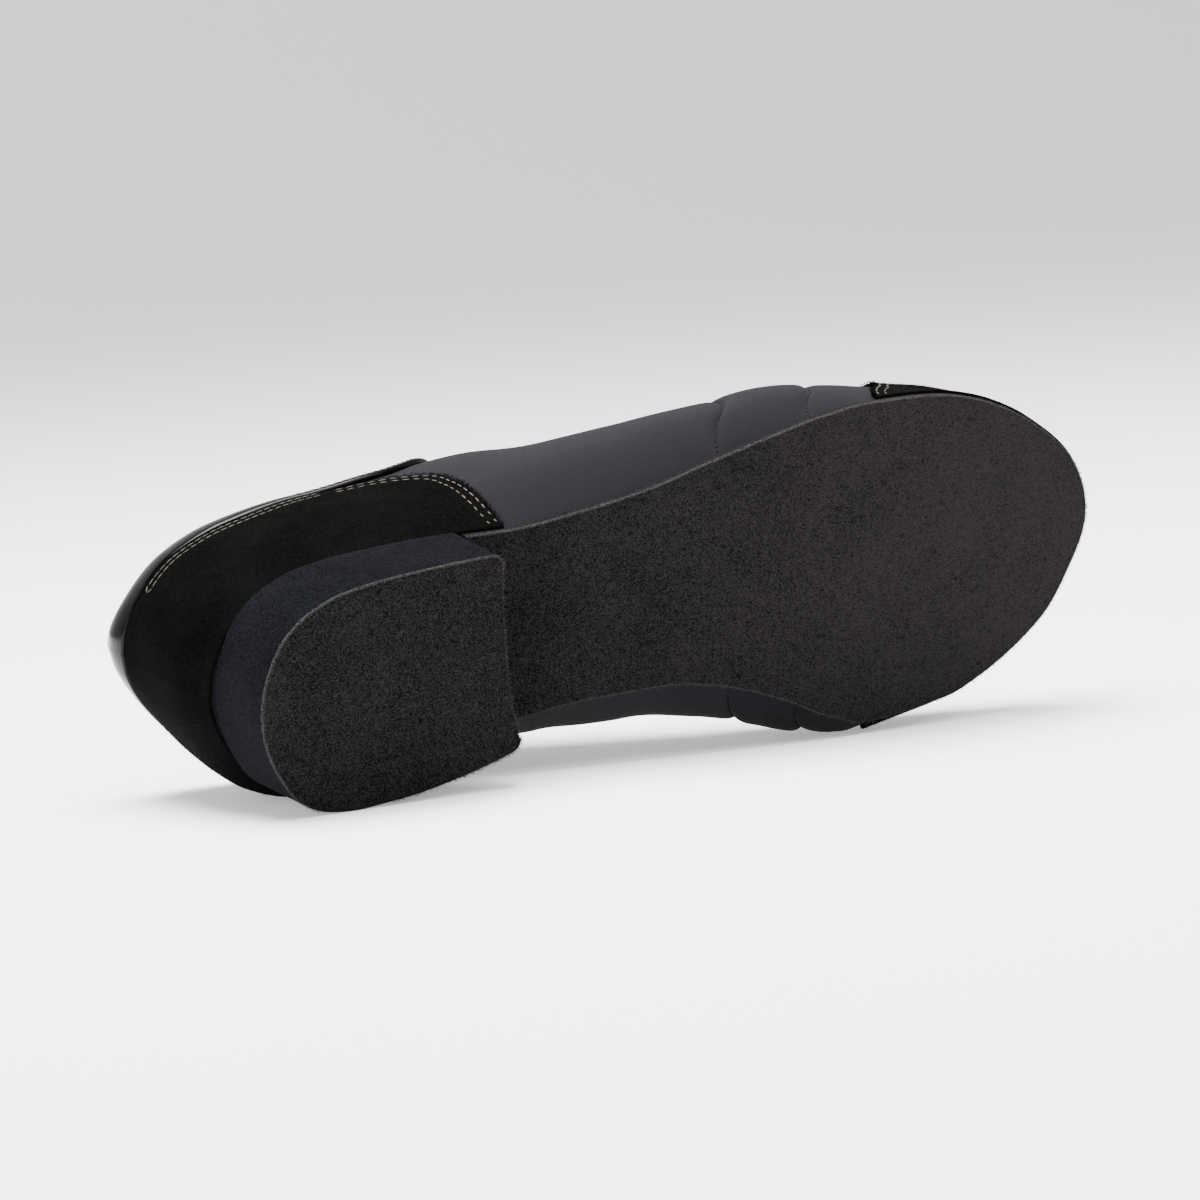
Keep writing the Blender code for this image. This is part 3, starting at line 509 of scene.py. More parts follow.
def one_sided_normal(side, along, level, relief):
    step_along, step_level = 0.0012, 0.006
    ahead = last_point(side, np.clip(along + step_along, 0, 1), level, relief)
    behind = last_point(side, np.clip(along - step_along, 0, 1), level, relief)
    above = last_point(side, along, np.clip(level + step_level, 0, 1), relief)
    below = last_point(side, along, np.clip(level - step_level, 0, 1), relief)
    normal = -side * np.cross(ahead - behind, above - below)
    return normal / np.maximum(np.linalg.norm(normal, axis=-1, keepdims=True), 1e-12)


def last_normal(side, along, level, relief=1.0):
    """Outward normal of the last's surface. It is level at the feather edge, and shared across the seams."""
    along, level = np.broadcast_arrays(np.asarray(along, float), np.asarray(level, float))
    on_seam = (along < 1e-6) | (along > 1 - 1e-6) | (level > 1 - 1e-6)
    own = one_sided_normal(side, along, level, relief)
    other = one_sided_normal(-side, along, level, relief)
    normal = np.where(on_seam[..., None], own + other, own)
    upright = np.clip(level / (FLUSH_SHARE * WIDEST_LEVEL), 0, 1)
    normal = np.stack([normal[..., 0], normal[..., 1], normal[..., 2] * upright], axis=-1)
    return normal / np.linalg.norm(normal, axis=-1, keepdims=True)


def skin(side, along, level, lift, relief=1.0):
    """A face at a height over the last."""
    lift = np.broadcast_to(np.asarray(lift, float), np.broadcast(along, level).shape)
    return last_point(side, along, level, relief) + lift[..., None] * last_normal(side, along, level, relief)


def throat_half_gap(along):
    """Half the gap between the two facings, closing in a round end at the vamp."""
    left = np.clip((THROAT_END - np.asarray(along, float)) * SHOE_LENGTH, 0, None)
    closing = np.sqrt(np.clip(1 - (1 - np.clip(left / THROAT_HALF_GAP, 0, 1)) ** 2, 0, 1))
    return THROAT_HALF_GAP * closing


def topline_height(along):
    rise = smooth(TOPLINE, TOPLINE_COLUMNS, "rise", along)
    return feather_height(0.10) + ANKLE_HEIGHT + (BACK_HEIGHT - ANKLE_HEIGHT) * rise - feather_height(along)


def level_at_height(along, height):
    """The level of a section at a height above the feather edge."""
    ridge = INSTEP_HEIGHT * last_value("ridge", along)
    widest = ridge * last_value("widest", along)
    share = np.clip((height - widest) / (ridge - widest), 0, 1)
    angle = np.arcsin(share ** (last_value("crest", along) / 2))
    return WIDEST_LEVEL + (1 - WIDEST_LEVEL) * angle / (math.pi / 2)


def level_at_distance(side, along, distance):
    """The level of a section at a sideways distance from its ridge."""
    half = sole_half_width(along, side) * (1 + last_value("swell_" + side_name(side), along))
    shift = side * BALL_WIDTH * last_value("ridge_shift", along)
    share = np.clip(distance / np.maximum(half - shift, 1e-6), 0, 1)
    angle = np.arccos(share ** (last_value("crest", along) / 2))
    return WIDEST_LEVEL + (1 - WIDEST_LEVEL) * angle / (math.pi / 2)


def topline_level(side, along):
    """Level of the opening's edge: the collar, then the throat, then 1 where the vamp is closed."""
    along = np.asarray(along, float)
    collar = level_at_height(along, topline_height(along))
    throat = level_at_distance(side, along, throat_half_gap(along))
    opened = np.where(along > COLLAR_END, np.minimum(collar, throat), collar)
    return np.where(along >= THROAT_END, 1.0, opened)


def band_lower_edge(along):
    collar = topline_height(along)
    height = BAND_HEIGHT * (1 - BAND_NARROWING * ramp((along - BAND_NARROWING_START) / BAND_NARROWING_RUN))
    return level_at_height(along, collar - height) / level_at_height(along, collar)


def band_line(along):
    """Lower edge of the patent band, which widens into the facings and closes in front of the throat."""
    top = np.minimum(topline_level(MEDIAL, along), topline_level(LATERAL, along))
    ahead = np.clip((FACING_END - along) * SHOE_LENGTH / FACING_WIDTH, 0, 1)
    width = FACING_TIP_HALF_WIDTH + FACING_WIDTH * np.sqrt(1 - (1 - ahead) ** 2)
    reach = throat_half_gap(along) + width
    facing = np.minimum(level_at_distance(LATERAL, along, reach) / top, FACING_TOP_LEVEL)
    blend = ramp((along - COLLAR_END) / FACING_BLEND)
    return band_lower_edge(along) * (1 - blend) + facing * blend


def row_level(side, along, row):
    """Level of a row: 0 is the feather edge, 1 the patent band's lower edge and 2 the topline."""
    line = band_line(along)
    share = np.where(row > 1, line + (1 - line) * (row - 1), line * row)
    return share * topline_level(side, along)


def even_ends(count):
    """Shares from 0 to 1, closer together at both ends."""
    return (1 - np.cos(np.linspace(0, math.pi, count))) / 2


def edge_drop(distance, radius):
    """How far a face falls towards a rounded edge."""
    inside = radius - np.minimum(distance, radius)
    return radius - np.sqrt(np.maximum(radius**2 - inside**2, 0))


# ---- meshes


def laid_down():
    """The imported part's pose, from its two ground faces: upright shoe frame to the row's frame."""
    mounts = {mount["name"]: mount for mount in frame["record"]["mounts"]}
    heel = Vector(mounts["heel_ground_face"]["pos_m"])
    ball = Vector(mounts["forefoot_ground_face"]["pos_m"])
    forward = (ball - heel).normalized()
    up = -Vector(mounts["heel_ground_face"]["axis"])
    up = (up - forward * up.dot(forward)).normalized()
    inner = up.cross(forward)
    turn = Matrix((forward, inner, up)).transposed()
    return turn, heel - forward * HEEL_FACE_MIDDLE


LAY_TURN, LAY_ORIGIN = laid_down()


def lay(points):
    """Points of the upright shoe, as they lie."""
    return np.asarray(points, float) @ np.array(LAY_TURN).T + np.array(LAY_ORIGIN)


def lay_direction(ways):
    return np.asarray(ways, float) @ np.array(LAY_TURN).T


def link(name, data):
    made = bpy.data.objects.new(name, data)
    bpy.context.scene.collection.objects.link(made)
    return made


def half_shell(side, along, level, outer, inner, edge):
    """One grid of a shell: its two faces, the length and rise of its cloth, and the way to a cut edge."""
    rise = np.linalg.norm(np.diff(outer, axis=1), axis=2)
    rise = np.concatenate([np.zeros((len(outer), 1)), np.cumsum(rise, axis=1)], axis=1)
    rise = rise + level[:, :1] * LEVEL_SPAN
    cloth = np.stack([along * SHOE_LENGTH, rise, 0 * rise], axis=-1)
    edge = np.broadcast_to(edge, along.shape)
    return {"outer": outer, "inner": inner, "cloth": cloth, "edge": edge, "flip": side == LATERAL}


def closed_body(name, grids, materials, sharp=40, depth=0.0):
    """A closed body between the faces of its grids, which are welded where their outer points meet. Depth is
    how far its inner face counts as lying from a cut edge."""
    outer = np.concatenate([grid["outer"].reshape(-1, 3) for grid in grids])
    inner = np.concatenate([grid["inner"].reshape(-1, 3) for grid in grids])
    cloth = np.concatenate([grid["cloth"].reshape(-1, 3) for grid in grids])
    edge = np.concatenate([grid["edge"].reshape(-1) for grid in grids])
    first, index = np.unique(np.round(outer, 7) + 0.0, axis=0, return_index=True, return_inverse=True)[1:]
    index = index.reshape(-1)
    tiles, start = [], 0
    for grid in grids:
        rows, columns = grid["edge"].shape
        own = index[start : start + rows * columns].reshape(rows, columns)
        start += rows * columns
        quads = np.stack([own[:-1, :-1], own[1:, :-1], own[1:, 1:], own[:-1, 1:]], axis=-1).reshape(-1, 4)
        if grid["flip"]:
            quads = quads[:, ::-1]
        for quad in quads.tolist():
            corners = list(dict.fromkeys(quad))
            if len(corners) > 2:
                tiles.append(corners)
    count = len(first)
    used = {(a, b) for tile in tiles for a, b in zip(tile, tile[1:] + tile[:1])}
    walls = [[b, a, a + count, b + count] for a, b in sorted(used) if (b, a) not in used]
    faces = tiles + [[corner + count for corner in reversed(tile)] for tile in tiles] + walls
    points = lay(np.concatenate([outer[first], inner[first]]))
    points[:, 2] = np.maximum(points[:, 2], 0)
    mesh = bpy.data.meshes.new(name)
    mesh.from_pydata(points.tolist(), [], faces)
    for material in materials:
        mesh.materials.append(material)
    inside = min(1, len(materials) - 1)
    slots = [0] * len(tiles) + [inside] * len(tiles) + [0] * len(walls)
    mesh.polygons.foreach_set("material_index", slots)
    way = mesh.attributes.new("cloth", "FLOAT_VECTOR", "POINT")
    way.data.foreach_set("vector", np.concatenate([cloth[first], cloth[first]]).ravel())
    cut = mesh.attributes.new("edge", "FLOAT", "POINT")
    cut.data.foreach_set("value", np.concatenate([edge[first], edge[first] + depth]))
    mesh.update()
    turn_outwards(mesh)
    mesh.shade_smooth()
    mesh.set_sharp_from_angle(angle=math.radians(sharp))
    return link(name, mesh)


def turn_outwards(mesh):
    """Turns a closed mesh's faces outwards by its volume, and stops if it isn't closed."""
    mesh.calc_loop_triangles()
    corners = np.empty(len(mesh.vertices) * 3)
    mesh.vertices.foreach_get("co", corners)
    corners = corners.reshape(-1, 3)
    triangles = np.empty(len(mesh.loop_triangles) * 3, int)
    mesh.loop_triangles.foreach_get("vertices", triangles)
    triangles = triangles.reshape(-1, 3)
    a, b, c = (corners[triangles[:, at]] for at in range(3))
    if np.einsum("ij,ij->i", a, np.cross(b, c)).sum() < 0:
        mesh.flip_normals()
    pairs = np.concatenate([triangles[:, ends] for ends in ((0, 1), (1, 2), (2, 0))])
    pairs = np.sort(pairs, axis=1)
    if (np.unique(pairs, axis=0, return_counts=True)[1] % 2).any():
        raise RuntimeError(mesh.name + " is not closed")


def finish_piece(piece, slot, *nodes):
    """Rides a finished piece on the shoe, and hides the imported parts that it stands for."""
    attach(piece, "root")
    if nodes:
        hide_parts(*nodes)


def tube(name, path, radius, material, sides=12):
    """A round cord along a path, with closed ends and the length and turn of its cloth."""
    path = np.asarray(path, float)
    run = np.gradient(path, axis=0)
    run /= np.linalg.norm(run, axis=1, keepdims=True)
    across = np.empty_like(path)
    across[0] = np.cross(run[0], (0, 0, 1))
    for at in range(len(path)):
        before = across[max(at - 1, 0)]
        flat = before - run[at] * before.dot(run[at])
        across[at] = flat / np.linalg.norm(flat)
    lift = np.cross(run, across)
    angles = np.linspace(0, 2 * math.pi, sides, endpoint=False)
    ring = np.cos(angles)[None, :, None] * across[:, None] + np.sin(angles)[None, :, None] * lift[:, None]
    points = (path[:, None] + radius * ring).reshape(-1, 3)
    faces = []
    for at in range(len(path) - 1):
        for side in range(sides):
            a, b = at * sides + side, at * sides + (side + 1) % sides
            faces.append([a, b, b + sides, a + sides])
    faces.append(list(range(sides))[::-1])
    faces.append([(len(path) - 1) * sides + side for side in range(sides)])
    length = np.concatenate([[0], np.cumsum(np.linalg.norm(np.diff(path, axis=0), axis=1))])
    turn = np.abs(angles - math.pi) * radius
    cloth = np.stack(np.broadcast_arrays(length[:, None], turn[None, :], 0.0), axis=-1).reshape(-1)
    mesh = bpy.data.meshes.new(name)
    mesh.from_pydata(lay(points).tolist(), [], faces)
    mesh.materials.append(material)
    way = mesh.attributes.new("cloth", "FLOAT_VECTOR", "POINT")
    way.data.foreach_set("vector", cloth)
    mesh.update()
    turn_outwards(mesh)
    mesh.shade_smooth()
    mesh.set_sharp_from_angle(angle=math.radians(60))
    return link(name, mesh)


# ---- the node helper and the materials


SHADER = "Principled BSDF"
MATH, MIX, SPREAD = "ShaderNodeMath", "ShaderNodeMix", "ShaderNodeMapRange"
NOISE, WAVE = "ShaderNodeTexNoise", "ShaderNodeTexWave"
BUMP, ATTRIBUTE = "ShaderNodeBump", "ShaderNodeAttribute"
RGBA, CLAMPED, TIMES = {"data_type": "RGBA"}, {"clamp": True}, {"operation": "MULTIPLY"}
BANDS = {"wave_type": "BANDS", "wave_profile": "SIN"}
WHITE = (1, 1, 1, 1)
# A wave texture's Scale is this over the length of one wave in metres
WAVE_SCALE = 0.314


def fill(tree, node, inputs):
    """Sets or links the inputs of a node."""
    for key, value in inputs.items():
        if isinstance(value, bpy.types.NodeSocket):
            tree.links.new(value, node.inputs[key])
        else:
            node.inputs[key].default_value = value


def add_node(tree, kind, settings=None, inputs=None, output=None):
    """Adds a node with its settings and links, and gives it, or the output that is asked for."""
    made = tree.nodes.new(kind)
    for name, value in (settings or {}).items():
        setattr(made, name, value)
    fill(tree, made, inputs or {})
    return made if output is None else made.outputs[output]


def features(place, size, detail, roughness, distortion=0.0):
    """Inputs of an unevenness whose features are about size metres across."""
    texture = {"Detail": detail, "Roughness": roughness, "Distortion": distortion}
    return {"Vector": place, "Scale": 1 / size, **texture}


def held(value, low, high, to_low=0.0, to_high=1.0):
    """Inputs that stretch a value from one range to another, and hold it inside."""
    return {"Value": value, "From Min": low, "From Max": high, "To Min": to_low, "To Max": to_high}


def raised(height, depth, strength):
    """Inputs of a relief that is depth metres deep."""
    return {"Height": height, "Distance": depth, "Strength": strength}


def weighted(tree, *parts):
    """The sum of patterns, each times its weight."""
    total = 0.0
    for pattern, weight in parts:
        total = add_node(tree, MATH, {"operation": "MULTIPLY_ADD"}, {0: pattern, 1: weight, 2: total}, 0)
    return total


def shade(colour, strength=1.0):
    """A colour made darker or lighter, with its alpha."""
    return (*(strength * part for part in colour), 1)


def start_material(name, colour, roughness, sockets):
    """A material with its constant values set on the shader's own sockets."""
    material = bpy.data.materials.new(name)
    material.use_nodes = True
    material.diffuse_color = shade(colour)
    tree = material.node_tree
    fill(tree, tree.nodes[SHADER], {"Base Color": shade(colour), "Roughness": roughness, **sockets})
    return material, tree


def finish_material(material, tone, limits, dark, light, relief=None):
    """Colours a material between two shades by a tone within its limits, and gives it a relief."""
    tree = material.node_tree
    tone = add_node(tree, SPREAD, CLAMPED, held(tone, *limits), 0)
    inputs = {"Base Color": add_node(tree, MIX, RGBA, {0: tone, 6: dark, 7: light}, 2)}
    if relief:
        inputs["Normal"] = add_node(tree, BUMP, {}, relief, 0)
    fill(tree, tree.nodes[SHADER], inputs)
    return material


def napped(name, dark, light, edge, grain, contrast, edge_width, patches, sheen, wear_and_painted_shade=0.0):
    """Napped leather: a mottle of brushed fibres, broad patches of wear, a paler cut edge, and painted shade
    along the shoe.
    """
    sockets = {"Sheen Weight": sheen, "Sheen Roughness": 0.45, "Specular IOR Level": 0.01}
    material, tree = start_material(name, dark, 0.92, sockets)
    place = add_node(tree, "ShaderNodeTexCoord", output="Object")
    fine = add_node(tree, NOISE, {}, features(place, grain, 3.0, 0.7), 0)
    brushed = add_node(tree, NOISE, {}, features(place, grain * 4, 3.0, 0.6, 0.2), 0)
    broad = add_node(tree, NOISE, {}, features(place, grain * 40, 2.0, 0.5), 0)
    cloth = add_node(tree, ATTRIBUTE, {"attribute_name": "cloth"}, {}, "Vector")
    length = add_node(tree, "ShaderNodeSeparateXYZ", {}, {0: cloth}, 0)
    # Painted shade along the shoe: darker behind 0.10 m, growing paler up to 0.24 m and staying paler to the
    # toe.
    painted_falloff = add_node(tree, SPREAD, CLAMPED, held(length, 0.10, 0.24, -wear_and_painted_shade * 0.4, wear_and_painted_shade), 0)
    tone = weighted(tree, (fine, 0.8), (brushed, 0.2 - patches / 2), (broad, patches / 2), (painted_falloff, 1.0))
    half = 0.09 / contrast
    tone = add_node(tree, SPREAD, CLAMPED, held(tone, 0.5 - half, 0.5 + half), 0)
    colour = add_node(tree, MIX, RGBA, {0: tone, 6: shade(dark), 7: shade(light)}, 2)
    way = add_node(tree, ATTRIBUTE, {"attribute_name": "edge"}, {}, "Fac")
    near = add_node(tree, SPREAD, CLAMPED, held(way, 0.0, edge_width, 0.85, 0.0), 0)
    tufts = add_node(tree, SPREAD, CLAMPED, held(fine, 0.38, 0.56), 0)
    ragged = add_node(tree, MATH, TIMES, {0: near, 1: tufts}, 0)
    height = weighted(tree, (fine, 0.7), (brushed, 0.6))
    inputs = {
        "Base Color": add_node(tree, MIX, RGBA, {0: ragged, 6: colour, 7: shade(edge)}, 2),
        "Normal": add_node(tree, BUMP, {}, raised(height, grain * 0.55, 0.9), 0),
    }
    fill(tree, tree.nodes[SHADER], inputs)
    return material


def black_suede(colours):
    """Split suede, dyed black and brushed: it swallows light, with paler specks where fibres catch it."""
    shades = (colours.suede, colours.suede_tip, colours.suede_tip)
    finish = {"grain": 0.00045, "contrast": 1.1, "edge_width": 0.0006, "patches": 0.4, "sheen": 0.0}
    return napped("Black split suede", *shades, **finish)


def sole_suede(colours):
    """Chrome-tanned sole leather, wire-brushed: an even grey mottle of short fibres, with painted shade that
    is darker at the heel and paler towards the toe.
    """
    shades = (colours.sole, colours.sole_tip, colours.fibre)
    finish = {"grain": 0.00045, "contrast": 1.15, "edge_width": 0.0006, "patches": 0.14, "sheen": 0.01}
    # Painted shade: the heel's ground face and the waist darker, the forefoot and toe paler.
    return napped("Chrome-tanned sole suede", *shades, **finish, wear_and_painted_shade=0.045)


def heel_suede(colours):
    """Suede cover of the heel's side: the same hide, cooler and a little smoother from handling."""
    shades = (colours.heel, colours.heel_tip, colours.fibre)
    finish = {"grain": 0.0005, "contrast": 1.2, "edge_width": 0.0005, "patches": 0.35, "sheen": 0.01}
    return napped("Heel cover suede", *shades, **finish)


def neoprene(colours):
    """Neoprene foam with a jersey face: fine knit wales drawn at 0.8 mm, as coarse as shows in the render."""
    colour = colours.neoprene
    sockets = {"Sheen Weight": 0.04, "Sheen Roughness": 0.4, "Specular IOR Level": 0.08}
    material, tree = start_material("Neoprene, knit-faced", colour, 0.82, sockets)
    cloth = add_node(tree, ATTRIBUTE, {"attribute_name": "cloth"}, {}, "Vector")
    place = add_node(tree, "ShaderNodeTexCoord", output="Object")
    wale, course, knit = 0.0008, 0.0006, 1.0
    for way, size in (("X", wale), ("Y", course)):
        inputs = {"Vector": cloth, "Scale": WAVE_SCALE / size, "Distortion": 0.6}
        ribs = add_node(tree, WAVE, {**BANDS, "bands_direction": way}, inputs, "Fac")
        knit = add_node(tree, MATH, TIMES, {0: knit, 1: ribs}, 0)
    fluff = add_node(tree, NOISE, {}, features(place, 0.0005, 3.0, 0.7), 0)
    broad = add_node(tree, NOISE, {}, features(place, 0.02, 2.0, 0.5), 0)
    tone = weighted(tree, (knit, 0.5), (fluff, 0.6), (broad, 0.2))
    relief = raised(weighted(tree, (knit, 1.0), (fluff, 1.0)), 0.00012, 0.7)
    return finish_material(material, tone, (0.2, 0.9), shade(colour, 0.72), shade(colour, 1.28), relief)


def patent(colours):
    """Patent leather: black hide under thick lacquer, mirror-glossy, with a faint pull in the surface."""
    sockets = {"Coat Weight": 0.25, "Coat Roughness": 0.03, "Coat IOR": 1.3, "Specular IOR Level": 0.05}
    material, tree = start_material("Patent leather, lacquered", colours.patent, 0.16, sockets)
    place = add_node(tree, "ShaderNodeTexCoord", output="Object")
    pull = add_node(tree, NOISE, {}, features(place, 0.006, 2.0, 0.5), 0)
    grain = add_node(tree, NOISE, {}, features(place, 0.0008, 2.0, 0.5), 0)
    relief = raised(weighted(tree, (pull, 1.0), (grain, 0.04)), 0.00025, 0.6)
    inputs = {
        "Roughness": add_node(tree, SPREAD, CLAMPED, held(grain, 0.3, 0.7, 0.10, 0.22), 0),
        "Normal": add_node(tree, BUMP, {}, relief, 0),
    }
    fill(tree, tree.nodes[SHADER], inputs)
    return material


def brushed_textile(name, colour, weave):
    """Brushed polyester: a soft even weave with a short pile."""
    material, tree = start_material(name, colour, 0.9, {"Sheen Weight": 0.03, "Sheen Roughness": 0.5})
    place = add_node(tree, "ShaderNodeTexCoord", output="Object")
    pile = add_node(tree, NOISE, {}, features(place, weave, 4.0, 0.7), 0)
    broad = add_node(tree, NOISE, {}, features(place, 0.012, 2.0, 0.5), 0)
    tone, relief = weighted(tree, (pile, 1.0), (broad, 0.4)), raised(pile, 0.0002, 0.8)
    return finish_material(material, tone, (0.45, 0.95), shade(colour, 0.6), shade(colour, 1.4), relief)


def waxed_lace(colours):
    """Waxed cotton lace: a round braid, its strands crossing at 45 degrees, slightly glossy with wax."""
    colour = colours.lace
    material, tree = start_material("Waxed cotton lace", colour, 0.55, {"Specular IOR Level": 0.2})
    cloth = add_node(tree, ATTRIBUTE, {"attribute_name": "cloth"}, {}, "Vector")
    strand, braid = 0.0011, 0.0
    for turn in (45, -45):
        inputs = {"Vector": cloth, "Rotation": (0, 0, math.radians(turn))}
        turned = add_node(tree, "ShaderNodeMapping", {}, inputs, 0)
        inputs = {"Vector": turned, "Scale": WAVE_SCALE / strand}
        strands = add_node(tree, WAVE, {**BANDS, "bands_direction": "X"}, inputs, "Fac")
        braid = add_node(tree, MATH, {"operation": "MAXIMUM"}, {0: braid, 1: strands}, 0)
    relief = raised(braid, 0.0003, 0.9)
    return finish_material(material, braid, (0.0, 1.0), shade(colour, 0.5), shade(colour, 1.7), relief)


def sewing_thread(name, colour):
    """Polyester sewing thread: a tight twist with a slight gloss, soiled unevenly."""
    material, tree = start_material(name, colour, 0.7, {"Specular IOR Level": 0.08})
    place = add_node(tree, "ShaderNodeTexCoord", output="Object")
    soil = add_node(tree, NOISE, {}, features(place, 0.0018, 3.0, 0.7), 0)
    twist = add_node(tree, NOISE, {}, features(place, 0.0003, 1.0, 0.5), 0)
    relief = raised(twist, 0.00006, 0.6)
    return finish_material(material, soil, (0.35, 0.65), shade(colour, 0.45), shade(colour), relief)


def loose_fibre(name, colour):
    """Leather fibres that stand up where suede is cut: pale, thin and matt."""
    material, tree = start_material(name, colour, 0.95, {"Specular IOR Level": 0.02})
    place = add_node(tree, "ShaderNodeTexCoord", output="Object")
    tone = add_node(tree, NOISE, {}, features(place, 0.0012, 2.0, 0.6), 0)
    return finish_material(material, tone, (0.35, 0.65), shade(colour, 0.35), shade(colour))


def black_nickel(colours):
    """Brass eyelets plated with black nickel: a dark metal with a satin gloss, worn in on its rim."""
    material, tree = start_material("Black nickel plated brass", colours.eyelet, 0.32, {"Metallic": 1.0})
    place = add_node(tree, "ShaderNodeTexCoord", output="Object")
    wear_and_painted_shade = add_node(tree, NOISE, {}, features(place, 0.0015, 3.0, 0.6), 0)
    gloss = add_node(tree, SPREAD, CLAMPED, held(wear_and_painted_shade, 0.3, 0.7, 0.24, 0.42), 0)
    fill(tree, tree.nodes[SHADER], {"Roughness": gloss})
    return material


def background_paper(colours):
    """Matt white background paper, lit evenly: it gives soft shadows and no gloss."""
    sockets = {"Specular IOR Level": 0.1, "Emission Color": WHITE, "Emission Strength": 0.4}
    material, tree = start_material("Matt background paper", colours.paper, 0.95, sockets)
    place = add_node(tree, "ShaderNodeTexCoord", output="Object")
    fibre = add_node(tree, NOISE, {}, features(place, 0.004, 3.0, 0.6), 0)
    fill(tree, tree.nodes[SHADER], {"Normal": add_node(tree, BUMP, {}, raised(fibre, 0.0001, 0.15), 0)})
    return material


# ---- trees that repeat a small form


NAMED, ALIGN = "GeometryNodeInputNamedAttribute", "FunctionNodeAlignRotationToVector"
VECTOR, RANDOM = "ShaderNodeCombineXYZ", "FunctionNodeRandomValue"


def new_tree(name, **sizes):
    """A geometry tree whose inputs are points, named sizes and a material, and its group input's sockets."""
    tree = bpy.data.node_groups.new(name, "GeometryNodeTree")
    tree.interface.new_socket("Geometry", in_out="INPUT", socket_type="NodeSocketGeometry")
    tree.interface.new_socket("Geometry", in_out="OUTPUT", socket_type="NodeSocketGeometry")
    for label, size in sizes.items():
        kind = "NodeSocketInt" if isinstance(size, int) else "NodeSocketFloat"
        tree.interface.new_socket(label, in_out="INPUT", socket_type=kind).default_value = size
    tree.interface.new_socket("Material", in_out="INPUT", socket_type="NodeSocketMaterial")
    return tree, tree.nodes.new("NodeGroupInput").outputs


def close_tree(tree, given, form, rotation, scale=(1, 1, 1)):
    """Ends a tree: the form on each point, then Realize Instances and Set Material."""
    inputs = {"Points": given["Geometry"], "Instance": form, "Rotation": rotation, "Scale": scale}
    placed = add_node(tree, "GeometryNodeInstanceOnPoints", {}, inputs, 0)
    real = add_node(tree, "GeometryNodeRealizeInstances", {}, {0: placed}, 0)
    inputs = {"Geometry": real, "Material": given["Material"]}
    add_node(tree, "NodeGroupOutput", {}, {0: add_node(tree, "GeometryNodeSetMaterial", {}, inputs, 0)})
    return tree


def upright(tree):
    """Rotation that sets Z along the surface's rise."""
    rise = add_node(tree, NAMED, {"data_type": "FLOAT_VECTOR"}, {"Name": "rise"}, 0)
    return add_node(tree, ALIGN, {"axis": "Z"}, {"Vector": rise}, 0)


def surface_frame(tree):
    """Rotation that sets Z along the surface's rise and X along the path's run."""
    run = add_node(tree, NAMED, {"data_type": "FLOAT_VECTOR"}, {"Name": "run"}, 0)
    inputs = {"Rotation": upright(tree), "Vector": run}
    return add_node(tree, ALIGN, {"axis": "X", "pivot_axis": "Z"}, inputs, 0)


def turned(tree, rotation, angles):
    """A rotation turned further by angles about its own axes."""
    inputs = {0: rotation, 1: add_node(tree, "FunctionNodeEulerToRotation", {}, {0: angles}, 0)}
    return add_node(tree, "FunctionNodeRotateRotation", {"rotation_space": "LOCAL"}, inputs, 0)


def stitch_tree():
    """Stitches on points of a seam, each a short swollen thread that leans a little at random."""
    tree, given = new_tree("Stitches on a seam", Length=0.0024, Thickness=0.0005, Lean=0.08, Seed=7)
    bead = add_node(tree, "GeometryNodeMeshUVSphere", {}, {"Segments": 8, "Rings": 6, "Radius": 0.5}, "Mesh")
    height = add_node(tree, MATH, TIMES, {0: given["Thickness"], 1: 0.8}, 0)
    size = add_node(tree, VECTOR, {}, {0: given["Length"], 1: given["Thickness"], 2: height}, 0)
    shaped = add_node(tree, "GeometryNodeTransform", {}, {"Geometry": bead, "Scale": size}, 0)
    smoothed = add_node(tree, "GeometryNodeSetShadeSmooth", {}, {0: shaped}, 0)
    back = add_node(tree, MATH, TIMES, {0: given["Lean"], 1: -1.0}, 0)
    inputs = {2: back, 3: given["Lean"], "Seed": given["Seed"]}
    lean = add_node(tree, VECTOR, {}, {2: add_node(tree, RANDOM, {"data_type": "FLOAT"}, inputs, 1)}, 0)
    return close_tree(tree, given, smoothed, turned(tree, surface_frame(tree), lean))


def fibre_tree():
    """Loose fibres on points of an edge, each a thin spike of its own length and lean."""
    tree, given = new_tree("Fibres on an edge", Length=0.0007, Thickness=0.0001, Lean=0.8, Seed=7)
    root = add_node(tree, MATH, TIMES, {0: given["Thickness"], 1: 0.5}, 0)
    tip = add_node(tree, MATH, TIMES, {0: given["Thickness"], 1: 0.2}, 0)
    inputs = {"Vertices": 3, "Radius Top": tip, "Radius Bottom": root, "Depth": given["Length"]}
    spike = add_node(tree, "GeometryNodeMeshCone", {}, inputs, "Mesh")
    back = add_node(tree, MATH, TIMES, {0: given["Lean"], 1: -1.0}, 0)
    low = add_node(tree, VECTOR, {}, {0: back, 1: back, 2: -3.0}, 0)
    high = add_node(tree, VECTOR, {}, {0: given["Lean"], 1: given["Lean"], 2: 3.0}, 0)
    inputs = {0: low, 1: high, "Seed": given["Seed"]}
    lean = add_node(tree, RANDOM, {"data_type": "FLOAT_VECTOR"}, inputs, 0)
    other_seed = add_node(tree, MATH, {"operation": "ADD"}, {0: given["Seed"], 1: 1.0}, 0)
    size = add_node(tree, RANDOM, {"data_type": "FLOAT"}, {2: 0.35, 3: 1.2, "Seed": other_seed}, 1)
    return close_tree(tree, given, spike, turned(tree, upright(tree), lean), size)


